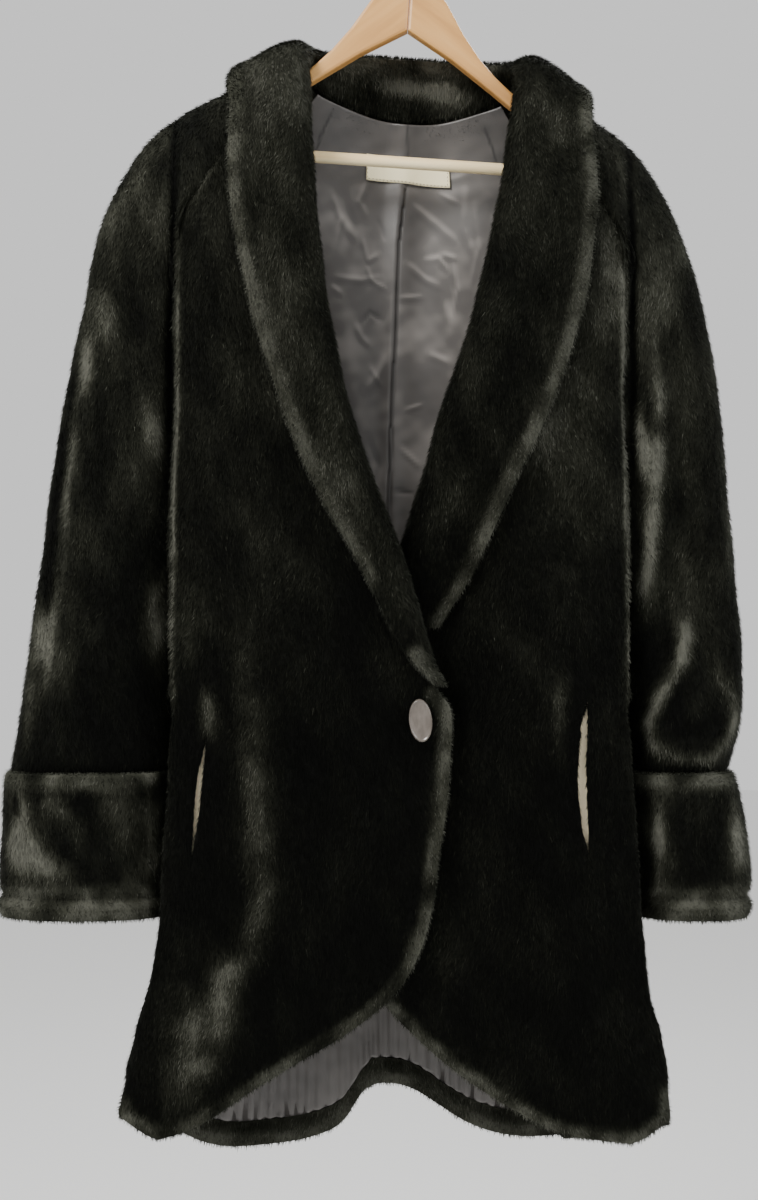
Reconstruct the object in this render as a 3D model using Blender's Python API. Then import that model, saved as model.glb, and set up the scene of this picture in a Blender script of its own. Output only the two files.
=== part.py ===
"""Shawl collar coat of dark sheared plush on a wooden hanger.

Frame: +Z up, the front faces -Y, the origin is the inside of the hook's crown.
Cloth tables are in millimetres: "drop" is the distance below the crown, "out" is
the distance from the coat's centre line towards a side. The coat is worked out
upright and symmetric, then hang() lets it lean and tilt with its hanger.
Side -1 is the viewer's left (the wearer's right), +1 the viewer's right.
"""
import functools
import math

import bpy
import bmesh
import numpy as np
from mathutils import Matrix, Vector
from mathutils.bvhtree import BVHTree

MM = 0.001

# ---- driving sizes, in millimetres ----
PLUSH = 9.0             # plush pile and its backing, one layer
COLLAR_THICK = 17.0     # two layers of plush, edge to edge
FACING_THICK = 7.0
FACING_WIDE = 42.0
LINING_THICK = 1.4
SEAM = 0.3              # gap between sewn pieces
LIE = 0.8               # gap under a piece that lies on another
COLLAR_LIE = 1.3        # gap between the collar and the cloth it covers
ROLL_IN = 12.0          # from the collar's roll line to the edge of the front inside it
UNDERARM = 425.0        # drop of the underarm point
NECK_TOP = 150.0        # drop where the raglan seams meet the neck
NECK_DIP = 20.0         # how far the back neck seam sags at the centre
NECK_ROOM = 27.0        # how far the back stands off behind the neck
LAPEL_END = 706.0       # drop where the lapel runs into the front edge
HEM_LIFT = 20.0         # the hem rises this much round the side fold
SLEEVE_END = 786.0
HANGER_TILT = 3.9       # degrees, down to the viewer's right
SIDES = {-1: "left", 1: "right"}


def table(columns, *rows):
    """A short table as a dictionary of named columns."""
    return dict(zip(columns.split(), np.array(rows, float).T))


# The body: half width at the front fold, depth of front and back, how far the
# side seam sits inside the fold, and where the centre line hangs.
BODY = table(
    "drop half front back pinch lean",
    (120, 165, 14, 12, 0, -1),
    (150, 190, 24, 21, 0, -4),
    (200, 207, 40, 35, 8, -8),
    (280, 211, 52, 45, 20, -12),
    (430, 211, 58, 50, 24, -15),
    (628, 214, 60, 52, 24, -15),
    (812, 226, 61, 52, 26, -13),
    (900, 231, 62, 52, 26, -12),
    (998, 241, 62, 54, 16, -14),
    (1089, 253, 62, 56, 10, -20),
    (1170, 258, 61, 57, 8, -21),
)
# One half of a level cut, centre front to centre back, as shares of those sizes.
SECTION = table(
    "half pinch across front back",
    (0.00, 0.0, 0, 1.00, 0.00),
    (0.30, 0.0, 0, 1.00, 0.00),
    (0.60, 0.0, 0, 0.97, 0.00),
    (0.85, 0.0, 0, 0.88, 0.00),
    (1.00, 0.0, -4, 0.72, 0.00),
    (1.00, 0.0, 0, 0.56, 0.00),
    (1.00, 0.4, -3, 0.40, 0.00),
    (1.00, 1.0, 0, 0.20, 0.00),
    (1.00, 1.0, 0, 0.00, 0.10),
    (1.00, 1.0, 0, 0.00, 0.55),
    (1.00, 1.0, -8, 0.00, 0.86),
    (0.80, 0.8, 0, 0.00, 0.97),
    (0.40, 0.0, 0, 0.00, 1.00),
    (0.00, 0.0, 0, 0.00, 1.00),
)
SIDE_SEAM_AT = 8        # the row of SECTION where the side seam runs
# The raglan seams, as shares of the way from centre front or back to the side seam.
RAGLAN = table(
    "drop front back",
    (NECK_TOP, 0.56, 0.48),
    (190, 0.62, 0.56),
    (239, 0.66, 0.66),
    (273, 0.75, 0.75),
    (300, 0.81, 0.82),
    (345, 0.88, 0.89),
    (390, 0.94, 0.95),
    (UNDERARM, 1.0, 1.0),
)
# How the whole coat tilts with the hanger, less and less towards the waist.
TILT = table("drop slope", (0, 0.065), (300, 0.065), (650, 0.0), (1300, 0.0))
# Leading edges: negative is across the centre line.
FRONT_EDGE = {
    -1: table(
        "drop out",
        (LAPEL_END, -31.4), (722, -48), (737, -50), (761, -49), (808, -44), (898, -31), (932, -25),
        (966, -12), (994, 9), (1016, 36), (1043, 76), (1063, 112), (1087, 147),
        (1109, 180), (1120, 214),
    ),
    1: table(
        "drop out",
        (LAPEL_END, -31.4), (722, -48), (737, -50), (808, -50), (898, -46), (932, -42), (966, -34),
        (1006, -14), (1021, 6), (1046, 32), (1069, 62), (1088, 98), (1105, 133),
        (1115, 160), (1124, 216),
    ),
}
# The shawl collar on the fronts: its roll line and its outer edge.
COLLAR = {
    -1: table(
        "drop roll edge",
        (150, 86, 166), (195, 83, 166), (245, 78, 164), (295, 73, 157), (335, 66, 149),
        (384, 57, 134), (415, 52, 124), (461, 40, 108), (504, 25, 92), (550, 8, 68),
        (580, -5, 51), (613, -15, 32), (641, -22, 17), (678, -31, -2), (692, -38, -12),
        (701, -42, -22), (LAPEL_END, -44, -31),
    ),
    1: table(
        "drop roll edge",
        (150, 89, 164), (195, 89, 174), (245, 85, 179), (295, 77, 177), (336, 68, 173),
        (377, 60, 165), (418, 46, 152), (460, 33, 137), (502, 20, 117), (538, 11, 99),
        (571, 2, 86), (604, -8, 71), (632, -17, 54), (650, -22, 42), (LAPEL_END, -44, -20),
    ),
}
COLLAR_END = {-1: LAPEL_END - SEAM, 1: 655.0}
# The collar round the neck, from centre back: the roll, the outer edge, the side
# it faces (out, back, up) and the sizes of the leg that goes down inside.
NECK = table(
    "roll_out roll_y roll_drop edge_out edge_y edge_drop face_out face_back face_up leg slot inside",
    (0, 50, 103, 0, 49, 226, 0.0, 1.0, 0.02, 66, 0.6, 15),
    (42, 45, 104, 58, 47, 224, 0.08, 1.0, 0.10, 59, 0.6, 15),
    (72, 30, 108, 112, 42, 204, 0.30, 0.90, 0.35, 42, 0.6, 13),
    (88, 10, 117, 150, 24, 172, 0.42, 0.50, 0.80, 22, 0.6, 9),
    (90, -8, 125, 166, -8, 160, 0.40, -0.15, 0.90, 12, 0.6, 7),
    (92, -26, 137, 170, -34, 174, 0.26, -0.74, 0.62, 13, 11.6, 4),
)
# Sleeves: the top and the under point of each ring, its middle and half its depth.
SLEEVE = {
    -1: table(
        "top_out top_drop under_out under_drop middle depth",
        (108, 131, 187, 425, 2, 27), (140, 147, 188, 426, 2, 31), (172, 161, 189, 428, 2, 34),
        (202, 177, 190, 431, 3, 36), (226, 194, 190, 435, 4, 38), (248, 218, 191, 440, 5, 39),
        (268, 250, 191, 446, 6, 39), (282, 285, 191, 454, 6, 39), (292, 322, 191, 465, 7, 38),
        (299, 368, 191, 482, 7, 38), (309, 415, 191, 505, 8, 37), (321, 475, 192, 540, 8, 37),
        (334, 548, 195, 587, 8, 36), (345, 630, 199, 642, 8, 36), (353, 682, 202, 686, 8, 36),
        (360, 735, 204, 736, 8, 36), (369, SLEEVE_END, 207, SLEEVE_END, 8, 37),
    ),
    1: table(
        "top_out top_drop under_out under_drop middle depth",
        (108, 131, 187, 425, 2, 27), (140, 147, 188, 426, 2, 31), (172, 163, 189, 428, 2, 34),
        (198, 178, 190, 431, 3, 36), (219, 195, 190, 435, 4, 38), (239, 221, 191, 440, 5, 39),
        (259, 253, 191, 446, 6, 39), (273, 288, 191, 454, 6, 39), (285, 326, 191, 465, 7, 38),
        (296, 372, 191, 482, 7, 38), (303, 420, 191, 505, 8, 37), (309, 480, 192, 540, 8, 37),
        (314, 550, 195, 587, 8, 36), (321, 628, 199, 642, 8, 36), (325, 682, 202, 686, 8, 37),
        (325, 735, 204, 736, 8, 38), (310, SLEEVE_END, 207, SLEEVE_END, 8, 36),
    ),
}
CUFF_BOTTOM = 926.0
# The cuffs: how far they stand out past the sleeve's end, with a rolled hem below.
CUFF = table(
    "drop swell",
    (SLEEVE_END, 2.5), (788, 4.5), (793, 6.0), (820, 6.0), (860, 6.5), (896, 7.5),
    (903, 3.5), (909, 8.5), (919, 8.5), (CUFF_BOTTOM, 4.0),
)
CUFF_LEAN = {-1: 4.0, 1: 14.0}    # outer edge of the cuff, further out at its hem
# The back hem, arched up at the middle.
BACK_HEM = table(
    "x drop",
    (-250, 1110), (-215, 1132), (-188, 1151), (-155, 1159), (-116, 1156), (-76, 1150), (-50, 1138),
    (-37, 1123), (-30, 1101), (-20, 1094), (10, 1095), (42, 1118), (62, 1131), (82, 1140),
    (120, 1149), (160, 1147), (186, 1141), (215, 1128), (250, 1110),
)
HEM_FACING_TALL = 27.0
# Soft folds in the fronts: where, how wide and how far they stand out.
FRONT_FOLDS = {
    -1: table(
        "out wide height first last",
        (135, 26, 5.0, 560, 1120), (70, 22, -3.0, 700, 1060), (186, 16, 3.0, 240, 900),
    ),
    1: table(
        "out wide height first last",
        (150, 24, 4.0, 620, 1120), (88, 26, -3.0, 720, 1090), (188, 16, 3.0, 300, 900),
    ),
}
BACK_FOLDS = table(
    "out wide height first last",
    (-120, 30, 5.0, 480, 1170), (-40, 24, -3.5, 380, 1160), (52, 26, 4.5, 560, 1170),
    (132, 28, 4.0, 420, 1170),
)
# Creases round the sleeves: share round the ring from the top over the front.
SLEEVE_FOLDS = {
    -1: table(
        "round wide height first last",
        (0.11, 0.035, -4.5, 330, 790), (0.24, 0.06, 3.0, 420, 760), (0.36, 0.05, -2.5, 460, 700),
        (0.86, 0.05, -3.5, 350, 760),
    ),
    1: table(
        "round wide height first last",
        (0.13, 0.05, 3.5, 420, 620), (0.30, 0.05, 3.5, 380, 560), (0.22, 0.07, 5.0, 690, 768),
        (0.40, 0.05, -3.5, 600, 770), (0.88, 0.05, -3.0, 360, 760),
    ),
}
# Pockets: slits in the fronts, bowed along their length.
POCKET = {
    -1: {"top": (176.0, 752.0), "bottom": (190.0, 860.0), "bow": 1.5, "gape": 5.5},
    1: {"top": (170.0, 716.0), "bottom": (168.0, 858.0), "bow": -6.0, "gape": 7.5},
}
POCKET_SEAT = 0.8         # gap between a front and its pocket bag
BUTTON_AT = (-18.0, 736.0)      # out on the left front, drop
BUTTON_TALL = 39.0
BUTTON_WIDE = 21.0
BUTTON_THICK = 7.0
BUTTON_LEAN = 5.5
SHANK_LONG = 3.0
LABEL = {"wide": 80.0, "tall": 25.0, "thick": 0.8, "drop": 216.0, "lean": 0.1}

# ---- the hanger, in its own upright frame: (out, drop) from the crown ----
WOOD_THICK = 14.0
ARM_TOP = [(0, 49), (13, 50), (22, 55), (35, 69), (53, 98), (70, 120), (84, 134.4), (100, 147.7),
           (130, 163.6), (165, 178.8), (192, 191), (203, 200)]
ARM_UNDER = [(208, 208), (209, 219), (205, 228), (197, 231), (183, 230), (183, 210), (158, 194),
             (130, 178), (100, 162), (82, 149), (43, 122), (0, 97)]
BAR_DROP = 219.0
BAR_RADIUS = 5.5
BAR_REACH = 182.7
HOOK_RADIUS = 24.0
HOOK_WIRE = 1.9


# ---- small tools ----
def smooth(xs, ys, at):
    """A curve through (xs, ys) that never overshoots, read at the values in "at"."""
    xs, ys = np.asarray(xs, float), np.asarray(ys, float)
    step, rise = np.diff(xs), np.diff(ys)
    slope = rise / step
    tangent = np.zeros(len(xs))
    tangent[0], tangent[-1] = slope[0], slope[-1]
    same = slope[:-1] * slope[1:] > 0
    mean = 2 * slope[:-1] * slope[1:] / np.where(same, slope[:-1] + slope[1:], 1)
    tangent[1:-1] = np.where(same, mean, 0)
    at = np.clip(np.asarray(at, float), xs[0], xs[-1])
    i = np.clip(np.searchsorted(xs, at, side="right") - 1, 0, len(xs) - 2)
    t = (at - xs[i]) / step[i]
    return (
        (1 + 2 * t) * (1 - t) ** 2 * ys[i]
        + t * (1 - t) ** 2 * step[i] * tangent[i]
        + t * t * (3 - 2 * t) * ys[i + 1]
        + t * t * (t - 1) * step[i] * tangent[i + 1]
    )


def read(rows, column, at):
    """One column of a table whose first column is its key."""
    key = next(iter(rows))
    return smooth(rows[key], rows[column], at)


def ease(low, high, at):
    """0 below low, 1 above high, and smooth between."""
    t = np.clip((np.asarray(at, float) - low) / (high - low), 0, 1)
    return t * t * (3 - 2 * t)


def unit(vectors):
    return vectors / np.maximum(np.linalg.norm(vectors, axis=-1, keepdims=True), 1e-9)


def spline(points, steps):
    """A rounded path through the points, with equal steps between each two."""
    points = np.asarray(points, float)
    ends = np.vstack([2 * points[0] - points[1], points, 2 * points[-1] - points[-2]])
    t = np.linspace(0, 1, steps, endpoint=False)[:, None]
    path = []
    for a, b, c, d in zip(ends, ends[1:], ends[2:], ends[3:]):
        path.append(
            0.5 * (2 * b + (c - a) * t + (2 * a - 5 * b + 4 * c - d) * t**2 + (3 * b - a - 3 * c + d) * t**3)
        )
    return np.vstack(path + [points[-1:]])


def hang(points):
    """Moves points of the upright coat to where they hang: the lean, then the tilt."""
    points = np.array(points, float)
    drop = -points[..., 2]
    points[..., 2] -= np.interp(drop, TILT["drop"], TILT["slope"]) * points[..., 0]
    points[..., 0] += read(BODY, "lean", drop)
    return points


# ---- the body's outer face ----
PATH_STEPS = 24


@functools.lru_cache(maxsize=None)
def half_cut(drop):
    """The level cut at this drop, one half: (out, y) points and the way along them."""
    size = {name: float(read(BODY, name, drop)) for name in BODY}
    out = SECTION["half"] * size["half"] - SECTION["pinch"] * size["pinch"] + SECTION["across"]
    y = SECTION["back"] * size["back"] - SECTION["front"] * size["front"]
    path = spline(np.column_stack([out, y]), PATH_STEPS)
    way = np.concatenate([[0], np.cumsum(np.linalg.norm(np.diff(path, axis=0), axis=1))])
    return path, way, way[SIDE_SEAM_AT * PATH_STEPS]


def fold_height(folds, out, drop):
    """How far soft folds push the cloth out at this place."""
    height = 0.0
    for place, wide, high, first, last in zip(*folds.values()):
        along = ease(first, first + 120, drop) * (1 - ease(last + 20, last + 140, drop))
        height = height + high * along * np.exp(-(((out - place) / wide) ** 2))
    return height


def tucked_under(side, out, drop):
    """How far the right front sinks where the left front laps over it."""
    if side < 0:
        return 0.0
    deep = 34 * ease(330, 600, drop) - 12 * ease(700, 820, drop)
    return deep * (1 - ease(30, 130, out))


def front_point(side, way, drop):
    """A point of a front's outer face, this far round from the centre line."""
    path, ways, _ = half_cut(round(float(drop), 3))
    if way < 0:
        out, y = way, path[0, 1]
    else:
        out, y = np.interp(way, ways, path[:, 0]), np.interp(way, ways, path[:, 1])
    y = y + tucked_under(side, out, drop) - fold_height(FRONT_FOLDS[side], out, drop) * (y < -25)
    return np.array([side * out, y, -drop])


def back_point(x_way, drop):
    """A point of the back's outer face, this far round from the centre back."""
    path, ways, seam = half_cut(round(float(drop), 3))
    way = ways[-1] - abs(x_way)
    out, y = np.interp(way, ways, path[:, 0]), np.interp(way, ways, path[:, 1])
    x = math.copysign(out, x_way)
    y = y + fold_height(BACK_FOLDS, x, drop) * (y > 25)
    y = y + NECK_ROOM * (1 - ease(25, 105, out)) * (1 - ease(NECK_TOP, NECK_TOP + 190, drop))
    return np.array([x, y, -drop])


def front_seam_way(drop):
    """Where a front ends: on the raglan seam above the underarm, else at the side seam."""
    seam = half_cut(round(float(drop), 3))[2]
    return seam * (float(read(RAGLAN, "front", drop)) if drop < UNDERARM else 1.0)


def back_seam_way(drop):
    _, ways, seam = half_cut(round(float(drop), 3))
    return (ways[-1] - seam) * (float(read(RAGLAN, "back", drop)) if drop < UNDERARM else 1.0)


def back_hem_drop(x):
    return float(smooth(BACK_HEM["x"], BACK_HEM["drop"], x))


# ---- making solids ----
COAT = bpy.data.collections.new("shawl_collar_coat")
CUTTERS = bpy.data.collections.new("cutters")
MATERIALS = {
    "plush": ((0.018, 0.024, 0.021), 0.85, 0.0),
    "plush_edge": ((0.06, 0.068, 0.062), 0.9, 0.0),
    "lining": ((0.09, 0.085, 0.095), 0.35, 0.0),
    "pocket_lining": ((0.62, 0.55, 0.44), 0.6, 0.0),
    "label": ((0.75, 0.70, 0.58), 0.7, 0.0),
    "pearl": ((0.30, 0.25, 0.23), 0.25, 0.0),
    "wood": ((0.62, 0.36, 0.16), 0.45, 0.0),
    "dowel": ((0.66, 0.50, 0.33), 0.5, 0.0),
    "steel": ((0.60, 0.60, 0.60), 0.3, 1.0),
}


def material(name):
    """The named Principled material, made on first use."""
    if name in bpy.data.materials:
        return bpy.data.materials[name]
    colour, rough, metal = MATERIALS[name]
    made = bpy.data.materials.new(name)
    made.use_nodes = True
    shader = made.node_tree.nodes["Principled BSDF"]
    shader.inputs["Base Color"].default_value = (*colour, 1.0)
    shader.inputs["Roughness"].default_value = rough
    shader.inputs["Metallic"].default_value = metal
    return made


def add_object(name, mesh, finish):
    made = bpy.data.objects.new(name, mesh)
    made.data.materials.append(material(finish))
    COAT.objects.link(made)
    return made


def solid(name, points, faces, finish):
    """One closed mesh from points in millimetres, with its faces turned outwards."""
    mesh = bpy.data.meshes.new(name)
    mesh.from_pydata([tuple(p) for p in np.asarray(points) * MM], [], faces)
    shape = bmesh.new()
    shape.from_mesh(mesh)
    bmesh.ops.triangulate(shape, faces=shape.faces[:])
    bmesh.ops.recalc_face_normals(shape, faces=shape.faces[:])
    if shape.calc_volume(signed=True) < 0:
        bmesh.ops.reverse_faces(shape, faces=shape.faces[:])
    shape.to_mesh(mesh)
    shape.free()
    mesh.shade_smooth()
    mesh.set_sharp_from_angle(angle=math.radians(50))
    return add_object(name, mesh, finish)


def face_grid(first, rows, columns, ring):
    """Quads over a grid of points numbered from "first"."""
    across = columns if ring else columns - 1
    faces = []
    for r in range(rows - 1):
        for c in range(across):
            d = (c + 1) % columns
            a, b = first + r * columns, first + (r + 1) * columns
            faces.append((a + c, a + d, b + d, b + c))
    return faces


def wall(name, outer, inner, finish, ring=False):
    """A sheet of the upright coat's cloth, hung as the coat hangs."""
    return closed_sheet(name, hang(outer), hang(inner), finish, ring)


def closed_sheet(name, outer, inner, finish, ring=False):
    """A sheet from its outer and inner grids, joined round every free edge."""
    rows, columns = outer.shape[:2]
    count = rows * columns
    faces = face_grid(0, rows, columns, ring) + [f[::-1] for f in face_grid(count, rows, columns, ring)]
    across = columns if ring else columns - 1
    for row in (0, rows - 1):
        for c in range(across):
            a, b = row * columns + c, row * columns + (c + 1) % columns
            faces.append((a, count + a, count + b, b))
    if not ring:
        for column in (0, columns - 1):
            for r in range(rows - 1):
                a, b = r * columns + column, (r + 1) * columns + column
                faces.append((a, count + a, count + b, b))
    return solid(name, np.vstack([outer.reshape(-1, 3), inner.reshape(-1, 3)]), faces, finish)


def grid_normals(grid, ring=False):
    """The unit normal at each point of a grid, on whichever side the grid's order gives."""
    if ring:
        along = np.roll(grid, -1, axis=1) - np.roll(grid, 1, axis=1)
    else:
        along = np.gradient(grid, axis=1)
    return unit(np.cross(along, np.gradient(grid, axis=0)))


def facing_out(normals, away):
    """The normals turned to the side that "away" points to, point by point."""
    flip = np.sign(np.sum(normals * away, axis=-1, keepdims=True))
    return normals * np.where(flip == 0, 1, flip)


def rounded(distance, thick):
    """How far a face draws in near a free edge, so that the edge is half round."""
    near = np.clip(1 - np.asarray(distance, float) / (thick / 2), 0, 1)
    return 0.46 * thick * (1 - np.sqrt(1 - near**2))


# ---- the sewing lines that pieces share ----
SEAM_ROWS = 9


def seam_line(side, which):
    """The raglan seam of one side, neck to underarm, on the body's outer face."""
    drops = np.linspace(NECK_TOP, UNDERARM, SEAM_ROWS)
    if which == "front":
        return np.array([front_point(side, front_seam_way(d), d) for d in drops])
    return np.array([back_point(side * back_seam_way(d), d) for d in drops])


def sleeve_rings(side, count):
    """Rings from the raglan seam down to the cuff, each from the top over the front."""
    rows = SLEEVE[side]
    front, back = seam_line(side, "front"), seam_line(side, "back")
    top = np.array([side * rows["top_out"][0], 0.0, -rows["top_drop"][0]])
    first = np.vstack([top[None], (top + front[0])[None] / 2 + [0, 0, 1.5], front, back[-2::-1],
                       (top + back[0])[None] / 2 + [0, 0, 1.5]])
    points = len(first)
    index = np.arange(len(rows["depth"]), dtype=float)
    places = np.concatenate([np.linspace(0, 8, count // 2, endpoint=False),
                             np.linspace(8, index[-1], count - count // 2)])
    angle = 2 * np.pi * np.arange(points) / points
    full = 2 / 2.4
    forward = np.sign(np.sin(angle)) * np.abs(np.sin(angle)) ** full
    upward = np.sign(np.cos(angle)) * np.abs(np.cos(angle)) ** full
    rings = []
    for place in places:
        at = {name: float(smooth(index, column, place)) for name, column in rows.items()}
        high = np.array([side * at["top_out"], at["middle"], -at["top_drop"]])
        low = np.array([side * at["under_out"], at["middle"], -at["under_drop"]])
        ring = (high + low) / 2 + upward[:, None] * (high - low) / 2
        ring = ring - forward[:, None] * np.array([0, at["depth"], 0])
        if not rings:
            change = first - ring
        rings.append(ring + change * (1 - ease(0, 5.5, place)))
    rings = np.array(rings)
    return rings, np.arange(points) / points


def crease(rings, share, folds, normals):
    """Pushes rings out or in along soft creases that run down them."""
    drop = -rings[..., 2]
    for place, wide, height, first, last in zip(*folds.values()):
        along = ease(first - 30, first + 50, drop) * (1 - ease(last - 40, last + 20, drop))
        round_it = np.abs((share - place + 0.5) % 1 - 0.5)
        shape = np.exp(-((round_it / wide) ** 2))[None] * along
        rings = rings + normals * (height * shape)[..., None]
    return rings


def crease_normal(body_normal, sleeve_normal, into_body, into_sleeve):
    """The outward direction that two pieces share at a seam, also in a deep valley."""
    return unit(body_normal + sleeve_normal + 2 * (into_body + into_sleeve))


RING_COUNT = 20


@functools.lru_cache(maxsize=None)
def sleeve_faces(side):
    """Outer and inner faces of a sleeve, and the outward directions at its seam."""
    rings, share = sleeve_rings(side, RING_COUNT)
    middle = rings.mean(axis=1, keepdims=True)
    normals = facing_out(grid_normals(rings, ring=True), rings - middle)
    rings = crease(rings, share, SLEEVE_FOLDS[side], normals)
    front, back = seam_directions(side, rings, normals)
    last = SEAM_ROWS + 1
    normals[0, 2:2 + SEAM_ROWS] = front
    normals[0, last:last + SEAM_ROWS] = back[::-1]
    normals[0, last] = unit(front[-1] + back[-1])
    normals[0, [0, 1, -1]] = unit(normals[0, [0, 1, -1]] + np.array([0, 0, 2.0]))
    # Ring 0 draws back along the cloth by half a seam, and the last ring is cut level.
    rings[0] += unit(rings[1] - rings[0]) * SEAM / 2
    inner = rings - normals * PLUSH
    for face in (rings, inner):
        face[-1, :, 2] = -SLEEVE_END
    return rings, inner, front, back


def seam_directions(side, rings, normals):
    """The shared outward directions along the front and the back raglan seam."""
    made = []
    for which, first in (("front", 2), ("back", SEAM_ROWS + 1)):
        line = seam_line(side, which)
        numbers = np.arange(first, first + SEAM_ROWS)
        if which == "back":
            numbers = numbers[::-1]
        into_sleeve = unit(rings[1, numbers] - rings[0, numbers])
        along = unit(np.gradient(line, axis=0))
        inside = []
        for point, drop in zip(line, -line[:, 2]):
            if which == "front":
                inside.append(front_point(side, front_seam_way(drop) - 6, drop) - point)
            else:
                inside.append(back_point(side * (back_seam_way(drop) - 6), drop) - point)
        into_body = np.array(inside)
        body_normal = facing_out(unit(np.cross(along, into_body)),
                                 line * [1, 1, 0] - [0, 0, 0])
        into_body = unit(into_body - along * np.sum(into_body * along, axis=1, keepdims=True))
        body_normal[-1] = [side, 0, 0]
        made.append(crease_normal(body_normal, normals[0, numbers], into_body, into_sleeve))
    made[0][-1] = made[1][-1] = unit(np.array([0.15 * side, 0, -1.0]))
    return made


# ---- the pieces ----
def front_edge_way(side, drop):
    """Where a front begins: inside the collar's roll, or at the leading edge."""
    if drop < LAPEL_END:
        below_neck = 10 * (1 - ease(NECK_TOP, NECK_TOP + 35, drop))
        return float(read(COLLAR[side], "roll", drop)) + ROLL_IN + 0.6 + below_neck
    return float(read(FRONT_EDGE[side], "out", drop))


def edge_stretch(side, drop):
    """How much longer a level line across the edge is than a square one."""
    if drop < LAPEL_END:
        return 1.0
    change = front_edge_way(side, drop + 2) - front_edge_way(side, drop - 2)
    return math.hypot(1, change / 4)


EDGE_STEPS = np.array([0, 1.3, 4.5, 12, 26, FACING_WIDE])
FRONT_COLUMNS = 14


def front_rows(side):
    last = FRONT_EDGE[side]["drop"][-1]
    upper = np.linspace(NECK_TOP, UNDERARM, SEAM_ROWS)
    middle = np.array([473, 520, 565, 610, 650, 683, 697, LAPEL_END, 714, 723])
    lower = np.array([737, 780, 825, 870, 910, 945, 972, 996, 1016, 1036, 1058, 1078, 1096])
    end = last - np.array([12.0, 5.0, 1.3, 0.0])
    return np.concatenate([upper, middle, lower, end])


def hem_round(side, way, drop):
    """The hem rises round the side fold: how far this point is lifted."""
    last = FRONT_EDGE[side]["drop"][-1]
    path, ways, seam = half_cut(round(float(drop), 3))
    return HEM_LIFT * ease(seam - 95, seam - 42, way) * ease(last - 110, last, drop)


def make_front(side):
    """One front, from its edge round the side fold to the side seam."""
    rows = front_rows(side)
    last = rows[-1]
    _, _, seam_out, _ = sleeve_faces(side)
    outer, drawn = [], []
    for drop in rows:
        begin, end = front_edge_way(side, drop), front_seam_way(drop)
        near = EDGE_STEPS * edge_stretch(side, drop)
        near = near * min(1.0, 0.4 * (end - begin) / near[-1])
        rest = np.linspace(begin + near[-1], end - SEAM / 2, FRONT_COLUMNS - len(near) + 1)[1:]
        ways = np.concatenate([begin + near, rest])
        line = np.array([front_point(side, way, drop) for way in ways])
        line[:, 2] += [hem_round(side, way, drop) for way in ways]
        to_edge = (ways - begin) / edge_stretch(side, drop)
        free = np.full(len(ways), 99.0) if drop < LAPEL_END else np.minimum(to_edge, last - drop)
        outer.append(line)
        drawn.append(rounded(free, PLUSH))
    outer, drawn = np.array(outer), np.array(drawn)[..., None]
    away = outer * [1, 1, 0] + [0, -40, 0]
    normals = facing_out(grid_normals(outer), away)
    normals[:SEAM_ROWS, -1] = seam_out
    piece = wall(f"front_{SIDES[side]}", outer - normals * drawn, outer - normals * (PLUSH - drawn), "plush")
    cut_slit(side, piece)
    return outer, normals


def slit_line(side):
    """Points down a pocket slit with how wide it gapes at each."""
    pocket = POCKET[side]
    share = np.linspace(0, 1, 9)
    top, bottom = np.array(pocket["top"]), np.array(pocket["bottom"])
    line = top + (bottom - top) * share[:, None]
    line[:, 0] += pocket["bow"] * np.sin(np.pi * share)
    return line, pocket["gape"] * np.sin(np.pi * share) ** 0.7 + 0.6


def cut_slit(side, piece):
    """Cuts the gaping pocket mouth through a front."""
    line, gape = slit_line(side)
    left = np.column_stack([line[:, 0] - gape / 2, line[:, 1]])
    right = np.column_stack([line[:, 0] + gape / 2, line[:, 1]])
    outline = np.vstack([left, right[::-1]])
    points = []
    for y in (-110.0, -20.0):
        points += [(side * out, y, -drop) for out, drop in outline]
    count = len(outline)
    faces = [tuple(range(count)), tuple(range(2 * count - 1, count - 1, -1))]
    faces += [(i, (i + 1) % count, count + (i + 1) % count, count + i) for i in range(count)]
    cutter = solid(f"slit_{SIDES[side]}", hang(points), faces, "pocket_lining")
    COAT.objects.unlink(cutter)
    CUTTERS.objects.link(cutter)
    cutter.hide_render = True
    cutter.display_type = "WIRE"
    cut = piece.modifiers.new("pocket_mouth", "BOOLEAN")
    cut.operation = "DIFFERENCE"
    cut.object = cutter


def make_facing(side, outer, normals):
    """The plush facing inside a front, from the lapel down the edge and the curved hem."""
    rows, columns = front_rows(side) >= LAPEL_END, len(EDGE_STEPS)
    outer, normals = outer[rows][:, :columns].copy(), normals[rows][:, :columns]
    outer[0, :, 2] -= SEAM
    below = np.abs(outer[-1:, :, 2] - outer[..., 2])
    free = np.minimum(np.minimum(EDGE_STEPS, FACING_WIDE - EDGE_STEPS), below)
    drawn = rounded(free, FACING_THICK)[..., None]
    top = outer - normals * (PLUSH + LIE + 0.6 * drawn)
    under = outer - normals * (PLUSH + LIE + FACING_THICK - drawn)
    return wall(f"facing_{SIDES[side]}", top, under, "plush_edge")


# Columns of the back from seam to seam, closer together where the hem steps up.
BACK_SHARES = np.array([-1.0, -0.90, -0.80, -0.68, -0.55, -0.42, -0.31, -0.20, -0.15, -0.12, -0.08, 0,
                        0.08, 0.18, 0.28, 0.40, 0.54, 0.68, 0.80, 0.90, 1.0])
BACK_ROWS = np.concatenate([np.linspace(NECK_TOP, UNDERARM, SEAM_ROWS), [520, 620, 720, 820, 910, 985, 1035]])
HEM_ROWS = np.array([HEM_FACING_TALL + 6 * SEAM, HEM_FACING_TALL, 13.0, 4.5, 1.3, 0.0])


def neck_sag(x, drop):
    """The back neck dips at its centre, less and less down the back."""
    return NECK_DIP * np.clip(1 - (x / 96) ** 2, 0, 1) * (1 - ease(NECK_TOP, NECK_TOP + 150, drop))


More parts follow.
